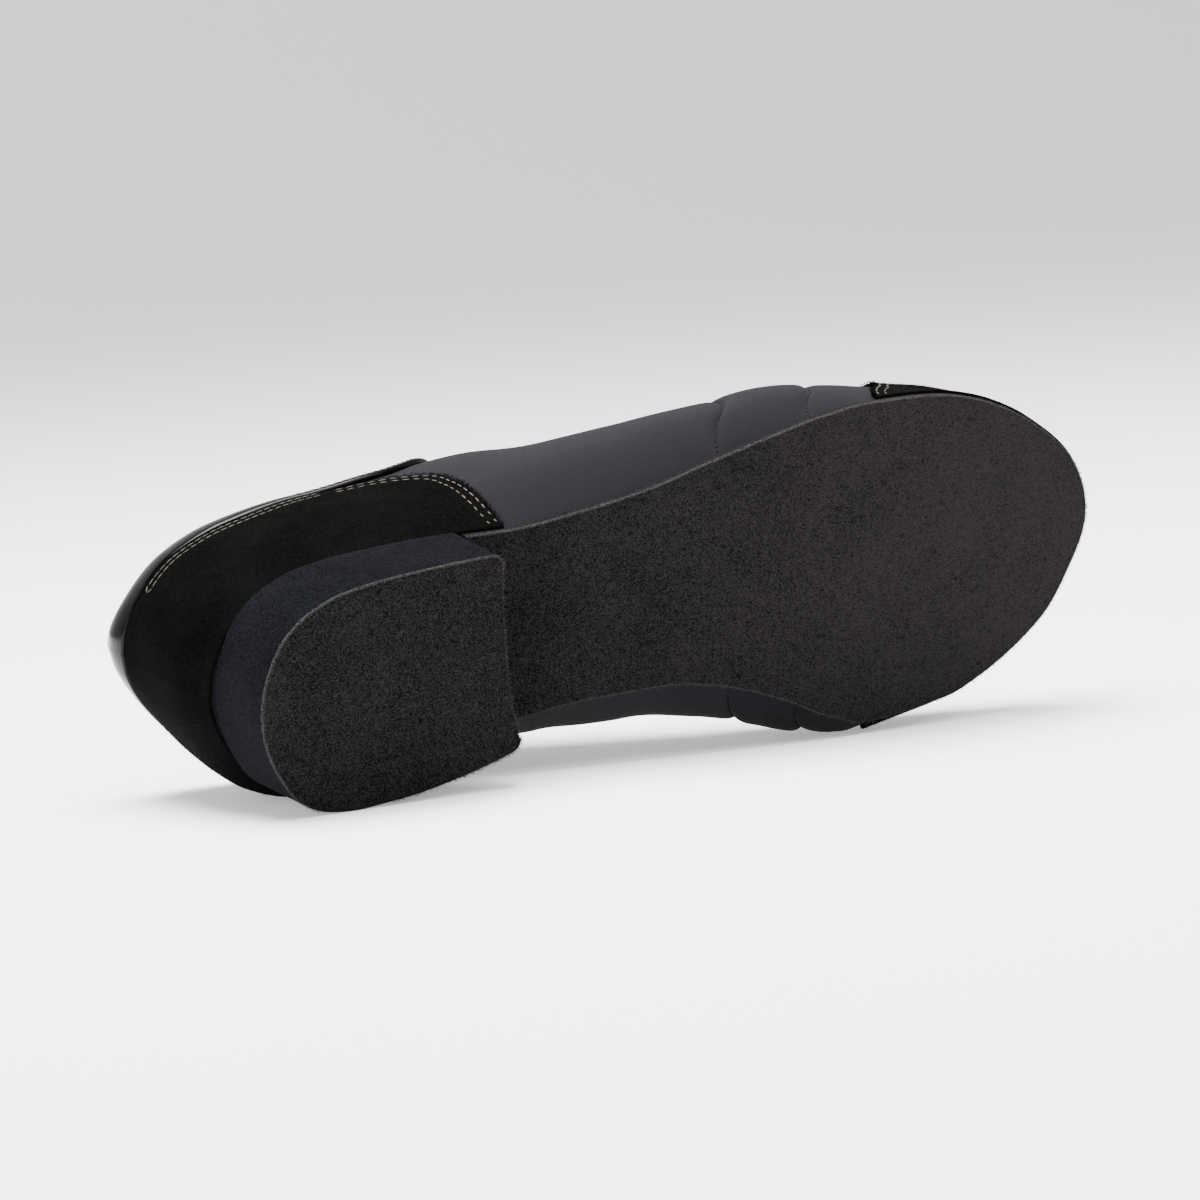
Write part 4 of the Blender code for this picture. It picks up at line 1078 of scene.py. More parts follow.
def eyelet_tree():
    """Eyelets on points of a facing: a rolled ring, flattened against the leather."""
    tree, given = new_tree("Eyelets on a facing", Radius=0.003, Roll=0.0007)
    middle = add_node(tree, MATH, {"operation": "SUBTRACT"}, {0: given["Radius"], 1: given["Roll"]}, 0)
    circle, roll = (
        add_node(tree, "GeometryNodeCurvePrimitiveCircle", {}, {"Resolution": count, "Radius": radius}, 0)
        for count, radius in ((32, middle), (10, given["Roll"]))
    )
    ring = add_node(tree, "GeometryNodeCurveToMesh", {}, {0: circle, 1: roll}, 0)
    flat = add_node(tree, "GeometryNodeTransform", {}, {"Geometry": ring, "Scale": (1, 1, 0.7)}, 0)
    smoothed = add_node(tree, "GeometryNodeSetShadeSmooth", {}, {0: flat}, 0)
    return close_tree(tree, given, smoothed, surface_frame(tree))


def grown(name, seats, tree, inputs):
    """A plain mesh of what a tree makes on seats, which are points with their run and rise."""
    mesh = bpy.data.meshes.new(name + "_seats")
    mesh.from_pydata(lay(seats[0]).tolist(), [], [])
    for key, ways in (("run", seats[1]), ("rise", seats[2])):
        attribute = mesh.attributes.new(key, "FLOAT_VECTOR", "POINT")
        attribute.data.foreach_set("vector", lay_direction(ways).ravel())
    source = link(name + "_seats", mesh)
    modifier = source.modifiers.new("Grow", "NODES")
    modifier.node_group = tree
    for item in tree.interface.items_tree:
        if item.item_type == "SOCKET" and item.in_out == "INPUT" and item.name in inputs:
            modifier[item.identifier] = inputs[item.name]
    graph = bpy.context.evaluated_depsgraph_get()
    made = link(name, bpy.data.meshes.new_from_object(source.evaluated_get(graph)))
    source.modifiers.remove(modifier)
    bpy.data.objects.remove(source)
    if not len(made.data.polygons):
        raise RuntimeError(name + " is empty")
    return made


def spaced(points, normals, pitch):
    """Seats at an even pitch along a path: points, the way that it runs, and its normals."""
    points, normals = np.asarray(points, float), np.asarray(normals, float)
    length = np.concatenate([[0], np.cumsum(np.linalg.norm(np.diff(points, axis=0), axis=1))])
    at = np.arange(pitch / 2, length[-1] - pitch / 4, pitch)

    def between(values, places):
        return np.stack([np.interp(places, length, values[:, axis]) for axis in range(3)], axis=1)

    run = between(points, at + pitch / 4) - between(points, at - pitch / 4)
    run /= np.linalg.norm(run, axis=1, keepdims=True)
    return between(points, at), run, between(normals, at)


def joined(*seats):
    return tuple(np.concatenate([part[at] for part in seats]) for at in range(3))


def inset(points, normals, distance, way):
    """A path set in from an edge along the surface. way is 1 or -1 for the side that the panel lies on."""
    run = np.gradient(points, axis=0)
    run /= np.maximum(np.linalg.norm(run, axis=1, keepdims=True), 1e-12)
    return points + way * distance * np.cross(normals, run)


def row_beside(side, along, level, lift, distance, way):
    """Places along and up the last of a row that keeps a distance from a seam on the skin."""
    step_along, step_level = 0.001, np.where(level > 0.5, -0.004, 0.004)
    points, normals = skin(side, along, level, lift), last_normal(side, along, level)
    offset = inset(points, normals, distance, way) - points
    ahead = (skin(side, along + step_along, level, lift) - points) / step_along
    above = (skin(side, along, level + step_level, lift) - points) / step_level[:, None]
    ahead_square, above_square = (ahead**2).sum(axis=1), (above**2).sum(axis=1)
    shared = (ahead * above).sum(axis=1)
    ahead_part, above_part = (ahead * offset).sum(axis=1), (above * offset).sum(axis=1)
    scale = np.maximum(ahead_square * above_square - shared**2, 1e-12)
    move = (above_square * ahead_part - shared * above_part) / scale
    climb = (ahead_square * above_part - shared * ahead_part) / scale
    return along + move, np.clip(level + climb, 0, 1)


def scattered(points, normals, count, seed, jitter=JITTER):
    """Seats at random places along a path, or over the rows of a grid."""
    draw = np.random.default_rng(seed)
    points, normals = points.reshape(-1, 3), normals.reshape(-1, 3)
    pick = draw.integers(0, len(points) - 1, count)
    part = draw.random((count, 1))
    place = points[pick] * (1 - part) + points[pick + 1] * part
    near = np.linalg.norm(points[pick + 1] - points[pick], axis=1) < NEIGHBOURS_WITHIN
    near &= lay(place)[:, 2] > FLOOR_CLEARANCE
    place = (place + draw.normal(0, jitter, (count, 3)))[near]
    rise = normals[pick][near]
    return place, np.cross(rise, (0.3, 0.5, 0.8)), rise


# ---- pieces


def counter_front(row):
    """Where the counter's front edge lies for a row: upright, then rounding back under the patent band."""
    corner = np.clip((row - COUNTER_CORNER_START) / COUNTER_CORNER_RISE, 0, 1)
    return COUNTER_FRONT - COUNTER_CORNER_REACH * (1 - np.sqrt(1 - corner**2))


def suede_panel(side, along, level, edge):
    """A suede panel on the upper, its face falling to a rounded edge."""
    outer = skin(side, along, level, SUEDE_FACE - edge_drop(edge, SUEDE_EDGE_RADIUS))
    return half_shell(side, along, level, outer, skin(side, along, level, SEAM_GAP), edge)


def counter_place(side, share, row):
    """A place on the counter, by its share of the way from the back seam to the front edge."""
    along = share * counter_front(row)
    return along, row_level(side, along, row)


def toe_cap_place(side, share, level):
    """A place on the toe cap, by its share of the way from its back edge to the toe."""
    start = leaned(side, TOE_CAP_START, level)
    return start + (1 - start) * share, level


def leaned_rows(lean, side, share, row):
    """Places of leaning stations on the rows, whose levels depend on those places in turn."""
    guess = lean(side, share, row_level(side, share, row))
    return lean(side, share, row_level(side, guess, row))


def share_at(lean, place):
    """The station that reaches the ridge at a place along the shoe."""
    fine = np.linspace(0, 1, 2001)
    return np.interp(place, lean(MEDIAL, fine, 1.0), fine)


def upper_stations():
    """Stations along the upper, closer at its ends, at the flex grooves and at the end of the throat."""
    shares = list(0.5 * even_ends(200) + 0.5 * np.linspace(0, 1, 200))
    steps = np.linspace(-1, 1, 33)
    for groove in FLEX_GROOVES:
        shares = [share for share in shares if abs(share - groove) > GROOVE_REACH]
        shares += list(groove + GROOVE_REACH * np.sign(steps) * np.abs(steps) ** 1.7)
    end = share_at(grooved, THROAT_END)
    shares = [share for share in shares if abs(share - end) > THROAT_CLEARANCE]
    shares += [end - step for step in THROAT_STEPS]
    return np.unique(np.array(shares))


def upper_rows():
    return np.concatenate([even_ends(44), 1 + even_ends(13)[1:]])


class DANCESHOE_OT_upper(bpy.types.Operator):
    """Make the neoprene upper with its flex grooves and folds"""

    bl_idname = "dance_shoe.upper"
    bl_label = "Upper"

    def execute(self, context):
        colours = context.scene.dance_shoe_colours
        share, row = np.meshgrid(upper_stations(), upper_rows(), indexing="ij")
        grids = []
        for side in SIDES:
            along = np.where(share >= 1, 1.0, leaned_rows(grooved, side, share, row))
            level = row_level(side, along, row)
            outer, inner = skin(side, along, level, 0.0), skin(side, along, level, -WALL, 0.0)
            grids.append(half_shell(side, along, level, outer, inner, FAR_FROM_EDGE))
        lining = brushed_textile("Brushed polyester lining", colours.lining, 0.0006)
        piece = closed_body("upper_shell", grids, (neoprene(colours), lining))
        finish_piece(piece, "neoprene", "upper")
        return {"FINISHED"}


class DANCESHOE_OT_counter(bpy.types.Operator):
    """Make the black suede heel counter with its raw front edge"""

    bl_idname = "dance_shoe.counter"
    bl_label = "Heel counter"

    def execute(self, context):
        share, row = np.meshgrid(np.sin(np.linspace(0, math.pi / 2, 130)), even_ends(64), indexing="ij")
        row = row * COUNTER_TOP
        grids = []
        for side in SIDES:
            along, level = counter_place(side, share, row)
            ahead, rise = (counter_front(row) - along) * SHOE_LENGTH, level * LEVEL_SPAN
            edge = np.minimum(np.minimum(ahead, rise), rise[:, -1:] - rise)
            grids.append(suede_panel(side, along, level, edge))
        piece = closed_body("suede_counter", grids, (black_suede(context.scene.dance_shoe_colours),))
        finish_piece(piece, "upper_suede", "heel_counter")
        return {"FINISHED"}


class DANCESHOE_OT_toe_cap(bpy.types.Operator):
    """Make the suede toe cap"""

    bl_idname = "dance_shoe.toe_cap"
    bl_label = "Toe cap"

    def execute(self, context):
        share, level = np.meshgrid(even_ends(130), even_ends(90), indexing="ij")
        grids = []
        for side in SIDES:
            along = toe_cap_place(side, share, level)[0]
            ahead = (along - toe_cap_place(side, 0.0, level)[0]) * SHOE_LENGTH
            grids.append(suede_panel(side, along, level, np.minimum(ahead, level * LEVEL_SPAN)))
        piece = closed_body("suede_toe_cap", grids, (black_suede(context.scene.dance_shoe_colours),))
        finish_piece(piece, "upper_suede", "toe_cap")
        return {"FINISHED"}


def collar_pad(side, along, level, crown):
    """Height of the padding under the patent band at a place on it."""
    low = row_level(side, along, 1.0)
    width = np.maximum(row_level(side, along, 2.0) - low, 1e-6)
    share = np.clip((level - low) / width, 0, 1)
    return crown * np.sin(share * math.pi) ** 0.8 * ramp(width * LEVEL_SPAN / 0.006)


def collar_grid(side, crown):
    """One side of the patent band, crowned over its padding and rolled over the topline."""
    stations, end = upper_stations(), share_at(leaned, FACING_END)
    stations = np.append(stations[stations < end - 0.001], end)
    share, row = np.meshgrid(stations, 1 + even_ends(18), indexing="ij")
    along = leaned_rows(leaned, side, share, row)
    level = row_level(side, along, row)
    rise, front = (level - level[:, :1]) * LEVEL_SPAN, (FACING_END - along) * SHOE_LENGTH
    edge = np.maximum(np.minimum(rise, front + 0.0005), 0)
    face = PATENT_FACE + collar_pad(side, along, level, crown) - edge_drop(edge, PATENT_EDGE_RADIUS)
    outer, inner = skin(side, along, level, face), skin(side, along, level, SEAM_GAP)
    rolled = ramp((THROAT_END - ROLL_END - along[:, -1]) / ROLL_FADE)[:, None, None]
    top = last_point(side, along[:, -1], level[:, -1])
    below = last_point(side, along[:, -1], level[:, -1] - 0.01)
    up = (top - below) / np.linalg.norm(top - below, axis=1, keepdims=True)
    normal = last_normal(side, along[:, -1], level[:, -1])
    middle = -WALL / 2
    turn = np.concatenate([np.linspace(0, math.pi, 10)[1:], [math.pi] * len(ROLL_TUCKS)])
    tuck = np.concatenate([np.zeros(9), ROLL_TUCKS])
    wraps = []
    for start in (PATENT_FACE, SEAM_GAP):
        radius = start - middle
        lift = start + rolled * ((middle + radius * np.cos(turn)) - start)[None, :, None]
        climb = rolled * (radius * np.sin(turn) - tuck)[None, :, None]
        wraps.append(top[:, None] + normal[:, None] * lift + up[:, None] * climb)
    outer, inner = (np.concatenate(pair, axis=1) for pair in zip((outer, inner), wraps))
    along, level = (np.append(at, np.repeat(at[:, -1:], len(turn), axis=1), axis=1) for at in (along, level))
    return half_shell(side, along, level, outer, inner, FAR_FROM_EDGE)


class DANCESHOE_OT_collar(bpy.types.Operator):
    """Make the patent collar that runs into the lace facings"""

    bl_idname = "dance_shoe.collar"
    bl_label = "Patent collar"

    def execute(self, context):
        colours, sizes = chosen(context)
        grids = [collar_grid(side, sizes.collar_crown) for side in SIDES]
        piece = closed_body("patent_collar", grids, (patent(colours),), 50)
        finish_piece(piece, "patent", "collar_facing")
        return {"FINISHED"}


def plan_outline(x, y, with_front):
    """Outline of a plan grid: its lateral side, its front row where that is an edge, and its medial side."""
    runs = [(x[:, 0], y[:, 0]), (x[-1], y[-1]), (x[::-1, -1], y[::-1, -1])]
    return np.concatenate([np.stack(run, axis=1) for run in (runs if with_front else runs[::2])])


def outline_distance(x, y, outline):
    """Distance of a plan grid's points from an outline."""
    points = np.stack([x.ravel(), y.ravel()], axis=1)
    start, step = outline[:-1], np.diff(outline, axis=0)
    square = np.maximum((step**2).sum(axis=1), 1e-16)
    nearest = np.empty(len(points))
    for first in range(0, len(points), 500):
        away = points[first : first + 500, None] - start[None]
        share = np.clip((away * step).sum(axis=2) / square, 0, 1)
        nearest[first : first + 500] = np.linalg.norm(away - share[..., None] * step, axis=2).min(axis=1)
    return nearest.reshape(x.shape)


def plate(lower, upper, edge):
    """A plate's grid: its underside is the face that is finished, and the upper face closes it."""
    cloth = np.concatenate([lower[..., :2], 0 * lower[..., :1]], axis=-1)
    return {"outer": lower, "inner": upper, "cloth": cloth, "edge": edge, "flip": False}


def breast_place(y):
    """Where the heel's breast lies along the shoe: hollow in the middle and further forward inside."""
    share = np.clip(y / (SEAT_WIDTH / 2), -1, 1)
    hollow = BREAST_HOLLOW * (share**2 - BREAST_LEVEL)
    return HEEL_LENGTH + hollow + BREAST_SKEW * 0.5 * (share + share**3) / 2


def outsole_plan(rows=240, columns=52):
    """Plan grid of the outsole from the heel's breast to the toe."""
    start = HEEL_LENGTH / SHOE_LENGTH
    along = start + (1 - start) * np.sin(np.linspace(0, 1, rows) * math.pi / 2) ** 1.15
    across = np.sin(np.linspace(-1, 1, columns) * math.pi / 2)[None, :]
    lateral, medial = (sole_half_width(along, side)[:, None] * across for side in SIDES)
    y = centre_line(along)[:, None] + np.where(across < 0, lateral, medial)
    fade = np.clip(1 - np.linspace(0, 1, rows) / BREAST_FADE, 0, 1)[:, None]
    return along[:, None] * SHOE_LENGTH + fade * (breast_place(y) + SEAM_GAP - HEEL_LENGTH), y


class DANCESHOE_OT_outsole(bpy.types.Operator):
    """Make the brushed suede outsole"""

    bl_idname = "dance_shoe.outsole"
    bl_label = "Outsole"

    def execute(self, context):
        colours, sizes = chosen(context)
        x, y = outsole_plan()
        away = outline_distance(x, y, plan_outline(x, y, False))
        wave = 0.00012 * np.sin(x * 210) * np.sin(y * 160 + x * 60) * ramp(away / 0.006)
        low = sole_underside(x / SHOE_LENGTH) + edge_drop(away, sizes.sole_arris) + wave
        lower = np.stack([x, y, low], axis=-1)
        upper = np.stack([x, y, feather_height(x / SHOE_LENGTH)], axis=-1)
        grid, leather = plate(lower, upper, away), sole_suede(colours)
        piece = closed_body("suede_outsole", [grid], (leather,), depth=SOLE_THICKNESS)
        finish_piece(piece, "sole_suede", "outsole")
        return {"FINISHED"}


def heel_plan(flare, rows=110, columns=48):
    """Plan points of the heel, drawn in by flare, from its round back to the hollow breast."""
    share = 1 - np.cos(np.linspace(0, 1, rows) * math.pi / 2) ** 1.3
    halves = []
    for side in SIDES:
        wide = smooth(HEEL_OUTLINE, HEEL_COLUMNS, side_name(side), share)
        first = HEEL_OUTLINE[1]
        back = first[HEEL_COLUMNS.index(side_name(side))] * np.sqrt(np.clip(share / first[0], 0, 1))
        wide = SEAT_WIDTH * np.where(share < first[0], back, wide)
        last = np.clip((share - 1) * HEEL_LENGTH / HEEL_CORNER + 1, 0, 1)
        wide = wide - HEEL_CORNER_CUT * (1 - np.sqrt(1 - last**2))
        halves.append((wide * (1 - flare / (SEAT_WIDTH / 2)))[:, None])
    across = np.sin(np.linspace(-1, 1, columns) * math.pi / 2)[None, :]
    y = np.where(across < 0, halves[0], halves[1]) * across
    back = HEEL_BACK + flare
    x = back + (breast_place(y) - back) * share[:, None]
    return x, y


def side_faces(mesh):
    """Gives the heel's side walls the cover's suede, and leaves its ground face to the sole's."""
    down = LAY_TURN @ Vector((0, 0, -1))
    for face in mesh.polygons:
        face.material_index = 0 if face.normal.dot(down) > 0.75 else 1


class DANCESHOE_OT_heel(bpy.types.Operator):
    """Make the suede-covered heel with its ground face"""

    bl_idname = "dance_shoe.heel"
    bl_label = "Heel"

    def execute(self, context):
        colours, sizes = chosen(context)
        x, y = heel_plan(HEEL_FLARE)
        away = outline_distance(x, y, plan_outline(x, y, True))
        lower = np.stack([x, y, edge_drop(away, sizes.heel_arris)], axis=-1)
        x_top, y_top = heel_plan(0.0)
        upper = np.stack([x_top, y_top, feather_height(x_top / SHOE_LENGTH)], axis=-1)
        grid = plate(lower, upper, away)
        piece = closed_body("suede_heel", [grid], (sole_suede(colours), heel_suede(colours)), 60, HEEL_RISE)
        side_faces(piece.data)
        finish_piece(piece, "sole_suede", "heel_block", "heel_top_piece")
        return {"FINISHED"}


class DANCESHOE_OT_insole(bpy.types.Operator):
    """Make the insole inside the upper"""

    bl_idname = "dance_shoe.insole"
    bl_label = "Insole"

    def execute(self, context):
        along = even_ends(120)
        depth = -(WALL + INSOLE_CLEARANCE)
        rims = [skin(side, along, 0 * along, depth, 0.0)[:, None, :] for side in SIDES]
        across = even_ends(30)[None, :, None]
        plan = rims[0] * (1 - across) + rims[1] * across
        bottom = feather_height(plan[..., 0] / SHOE_LENGTH) + SEAM_GAP
        upper, lower = (
            np.stack([plan[..., 0], plan[..., 1], height], axis=-1)
            for height in (bottom + INSOLE_THICKNESS, bottom)
        )
        grid = plate(lower, upper, np.full(bottom.shape, FAR_FROM_EDGE))
        face = brushed_textile("Microfibre insole", context.scene.dance_shoe_colours.insole, 0.0005)
        finish_piece(closed_body("foam_insole", [grid], (face,)), "lining", "insole")
        return {"FINISHED"}


class DANCESHOE_OT_tongue(bpy.types.Operator):
    """Make the padded tongue under the facings"""

    bl_idname = "dance_shoe.tongue"
    bl_label = "Tongue"

    def execute(self, context):
        run = even_ends(90)[:, None]
        across = np.sin(np.linspace(-1, 1, 60) * math.pi / 2)[None, :]
        round_top = np.sqrt(1 - (1 - np.clip(run / TONGUE_ROUND_END, 0, 1)) ** 2)
        top_width = TONGUE_TOP_WIDTH + (1 - TONGUE_TOP_WIDTH) * round_top
        half = TONGUE_HALF_WIDTH * (1 - TONGUE_TAPER * run) * top_width
        drop = TONGUE_TOP_DROP * across**2 * (1 - round_top)
        along = TONGUE_TOP + (TONGUE_END - TONGUE_TOP) * run + drop
        edge = np.minimum(half * (1 - abs(across)), run * (TONGUE_END - TONGUE_TOP) * SHOE_LENGTH)
        fall = edge_drop(edge, TONGUE_EDGE_RADIUS)
        depth = WALL + TONGUE_DEPTH + TONGUE_SINK * (1 - run)
        faces = []
        for under in (depth + fall, depth + TONGUE_THICKNESS - fall):
            halves = []
            for side in SIDES:
                level = level_at_distance(side, along, half * abs(across))
                halves.append(skin(side, along, level, -under, 0.0))
            faces.append(np.where((across < 0)[..., None], *halves))
        cloth = np.stack([along * SHOE_LENGTH, half * across, 0 * along], axis=-1)
        edge = edge + FAR_FROM_EDGE
        grid = {"outer": faces[0], "inner": faces[1], "cloth": cloth, "edge": edge, "flip": False}
        face = brushed_textile("Brushed polyester tongue", context.scene.dance_shoe_colours.lining, 0.0006)
        finish_piece(closed_body("padded_tongue", [grid], (face,)), "lining", "tongue")
        return {"FINISHED"}


# ---- lacing


def lace_rows():
    return np.linspace(LACE_FIRST, LACE_LAST, LACE_ROWS)


def throat_point(side, along, share, lift):
    """A place over one facing, by its share of the way out to the eyelets."""
    reach = THROAT_HALF_GAP + FACING_WIDTH * LACE_END
    level = level_at_distance(side, along, reach * share)
    return last_point(side, along, level, 0.0) + lift * last_normal(side, along, level, 0.0)


def flowing(points, steps=8):
    """A smooth line through points."""
    points = np.asarray(points, float)
    ends = np.concatenate([2 * points[:1] - points[1:2], points, 2 * points[-1:] - points[-2:-1]])
    line = []
    for at in range(len(points) - 1):
        a, b, c, d = ends[at : at + 4]
        for share in np.linspace(0, 1, steps, endpoint=False):
            bend = (2 * a - 5 * b + 4 * c - d) * share**2 + (3 * b - a - 3 * c + d) * share**3
            line.append(0.5 * (2 * b + (c - a) * share + bend))
    line.append(points[-1])
    return np.array(line)


class DANCESHOE_OT_lace(bpy.types.Operator):
    """Make the lace, run straight through the eyelets with its ends hidden at the top pair"""

    bl_idname = "dance_shoe.lace"
    bl_label = "Lace"

    def execute(self, context):
        colours, sizes = chosen(context)
        radius = sizes.lace_thickness / 2
        above = PATENT_FACE + sizes.collar_crown + radius * 1.1
        under = -(WALL + radius + 0.0003)
        stations = [(1.0, under), (1.0, 0.0), (0.97, above * 0.75)]
        stations += [(share, above) for share in (0.86, 0.62, 0.30)]
        route, side = [], LATERAL
        for along in lace_rows():
            route += [throat_point(side, along, share, lift) for share, lift in stations]
            side = -side
            route += [throat_point(side, along, share, lift) for share, lift in reversed(stations)]
        for along in lace_rows()[::-1]:
            route.append(throat_point(side, along - 0.01, 1.22, under - 0.0003))
        piece = tube("lace_run", flowing(route), radius, waxed_lace(colours))
        finish_piece(piece, "lace", *(f"lace_bar_{row}" for row in range(1, LACE_ROWS + 1)))
        return {"FINISHED"}


class DANCESHOE_OT_eyelets(bpy.types.Operator):
    """Make the eyelets of both facings"""

    bl_idname = "dance_shoe.eyelets"
    bl_label = "Eyelets"

    def execute(self, context):
        colours, sizes = chosen(context)
        reach = THROAT_HALF_GAP + FACING_WIDTH * LACE_END
        points, normals = [], []
        for side in SIDES:
            level = level_at_distance(side, lace_rows(), reach)
            lift = PATENT_FACE + collar_pad(side, lace_rows(), level, sizes.collar_crown)
            points.append(skin(side, lace_rows(), level, lift, 0.0))
            normals.append(last_normal(side, lace_rows(), level, 0.0))
        points, normals = np.concatenate(points), np.concatenate(normals)
        seats = (points, np.tile((1.0, 0.0, 0.0), (len(points), 1)), normals)
        inputs = {"Radius": sizes.eyelet_radius, "Roll": 0.0007, "Material": black_nickel(colours)}
        finish_piece(grown("eyelet_rings", seats, eyelet_tree(), inputs), "lace")
        return {"FINISHED"}


# ---- seams


def on_face(side, along, level, lift):
    """Places on a panel's face, with their normals."""
    return skin(side, along, level, lift), last_normal(side, along, level)


def seam_row(side, along, level, face, distance, way, sunk, crown=0.0):
    """A row of stitches sunk into a face beside a seam. Crown is the padding that may raise the face."""
    place, rise = row_beside(side, along, level, face, distance, way)
    pad = collar_pad(side, place, rise, crown) if crown else 0.0
    return on_face(side, place, rise, face + pad - sunk)


def looped_rows(near, far, normals):
    """Two rows of points that start in one round end."""
    middle, radius = (near[0] + far[0]) / 2, (far[0] - near[0]) / 2
    run = near[1] - near[0]
    run = run / np.linalg.norm(run) * np.linalg.norm(radius)
    turn = np.linspace(0, math.pi, 12)[1:-1, None]
    end = middle + radius * np.cos(turn) - run * np.sin(turn)
    path = np.concatenate([far[::-1], end, near])
    return path, np.concatenate([normals[::-1], np.repeat(normals[:1], len(end), axis=0), normals])


class DANCESHOE_OT_seams(bpy.types.Operator):
    """Sew the counter, the toe cap, the facings and the flex grooves"""

    bl_idname = "dance_shoe.seams"
    bl_label = "Seams"

    def execute(self, context):
        colours, sizes = chosen(context)
        tree, pitch, sunk = stitch_tree(), sizes.stitch_pitch, sizes.stitch_thickness * 0.10
        rows = (sizes.first_row, sizes.second_row)
        counter, toe, facing, groove = [], [], [], []
        for side in SIDES:
            seam = counter_place(side, 1.0, np.linspace(0.02, 0.965, 90))
            for distance in rows:
                counter.append(spaced(*seam_row(side, *seam, SUEDE_FACE, distance, -side, sunk), pitch))
            along = np.linspace(0.030, counter_front(COUNTER_TOP) + 0.004, 70)
            seam = (along, row_level(side, along, COUNTER_TOP))
            near, far = (seam_row(side, *seam, SUEDE_FACE, distance, side, sunk) for distance in LOOP_ROWS)
            counter.append(spaced(*looped_rows(near[0], *far), pitch * 0.8))
            seam = toe_cap_place(side, 0.0, np.linspace(0.02, 1.0, 120))
            for distance in rows:
                toe.append(spaced(*seam_row(side, *seam, SUEDE_FACE, distance, side, sunk), pitch * 0.85))
            for place in FLEX_GROOVES:
                level = np.linspace(0.01, 0.999, 200)
                along = grooved(side, place, level)
                keep = level < band_line(along) * topline_level(side, along) - 0.004
                path, ups = skin(side, along, level, 0.00005), last_normal(side, along, level, 0.0)
                groove.append(spaced(path[keep], ups[keep], GROOVE_STITCH_PITCH))
            along = np.linspace(0.20, FACING_END - 0.006, 220)
            seam = (along, row_level(side, along, 1.0))
            for distance in FACING_ROWS:
                row = seam_row(side, *seam, PATENT_FACE, distance, -side, sunk, sizes.collar_crown)
                facing.append(spaced(*row, pitch * 0.8))
        light = sewing_thread("Polyester sewing thread, grey", colours.thread)
        dark = sewing_thread("Polyester sewing thread, black", colours.dark_thread)
        plain = {"Length": sizes.stitch_length, "Thickness": sizes.stitch_thickness, "Seed": sizes.seed}
        fine = {**plain, "Material": dark, **FINE_STITCH}
        plain["Material"] = light
        for name, seats, inputs, slot in (
            ("counter_stitches", counter, plain, "upper_suede"),
            ("toe_cap_stitches", toe, plain, "upper_suede"),
            ("facing_stitches", facing, fine, "patent"),
            ("groove_stitches", groove, fine, "neoprene"),
        ):
            finish_piece(grown(name, joined(*seats), tree, inputs), slot)
        return {"FINISHED"}


class DANCESHOE_OT_nap(bpy.types.Operator):
    """Raise loose fibres where suede is cut and brushed"""

    bl_idname = "dance_shoe.nap"
    bl_label = "Suede nap"

    def execute(self, context):
        colours, sizes = chosen(context)
        seed, tree = sizes.seed, fibre_tree()
        sole = plan_outline(*outsole_plan(400, 3), False)
        height = sole_underside(sole[:, 0] / SHOE_LENGTH) + 0.5 * sizes.sole_arris
        sole_rim = edge_seats(sole, height, SOLE_FIBRES, seed)
        heel = plan_outline(*heel_plan(HEEL_FLARE, 200, 60), True)
        heel_rim = edge_seats(heel, np.full(len(heel), 0.45 * sizes.heel_arris), HEEL_FIBRES, seed + 2)
        edges, over = [], []
        for side in SIDES:
            places = counter_place(side, 1.0, np.linspace(0.0, COUNTER_TOP, 300))
            edges.append(scattered(*on_face(side, *places, EDGE_NAP_LIFT), COUNTER_EDGE_FIBRES, seed + 3))
            places = toe_cap_place(side, 0.0, np.linspace(0.0, 1.0, 300))
            edges.append(scattered(*on_face(side, *places, EDGE_NAP_LIFT), TOE_CAP_EDGE_FIBRES, seed + 4))
            share, row = np.meshgrid(np.linspace(0.0, 1.0, 90), np.linspace(0.02, 1.0, 60), indexing="ij")
            places = counter_place(side, share, row * COUNTER_TOP)
            over.append(scattered(*on_face(side, *places, SUEDE_FACE), COUNTER_FIBRES, seed + 5, FINE_JITTER))
            share, level = np.meshgrid(np.linspace(0.0, 1.0, 60), np.linspace(0.0, 0.9, 60), indexing="ij")
            places = toe_cap_place(side, share, level)
            over.append(scattered(*on_face(side, *places, SUEDE_FACE), TOE_CAP_FIBRES, seed + 6, FINE_JITTER))
        fibres = {"Length": sizes.nap_length, "Thickness": sizes.nap_thickness, "Seed": seed}
        pale = {**fibres, "Material": loose_fibre("Loose fibres of sole suede", colours.fibre)}
        deep = loose_fibre("Loose fibres of black suede", colours.suede_tip)
        black = {**fibres, "Material": deep, "Lean": 1.1}
        for name, seats, inputs, slot in (
            ("sole_edge_nap", sole_rim, pale, "sole_suede"),
            ("heel_edge_nap", heel_rim, pale, "sole_suede"),
            ("suede_edge_nap", joined(*edges), black, "upper_suede"),
            ("counter_nap", joined(*over), {**black, "Length": SHORT_NAP}, "upper_suede"),
        ):
            finish_piece(grown(name, seats, tree, inputs), slot)
        return {"FINISHED"}


def edge_seats(outline, height, count, seed):
    """Seats along a plan outline, their fibres standing outwards and down."""
    run = np.gradient(outline, axis=0)
    out = np.stack([run[:, 1], -run[:, 0]], axis=1)
    out /= np.maximum(np.linalg.norm(out, axis=1, keepdims=True), 1e-12)
    out *= np.sign(((outline - outline.mean(axis=0)) * out).sum(axis=1, keepdims=True))
    points = np.column_stack([outline - NAP_ROOT * out, height])
    rise = np.column_stack([out, np.full(len(out), -0.8)])
    return scattered(points, rise / np.linalg.norm(rise, axis=1, keepdims=True), count, seed, FINE_JITTER)


# ---- stage


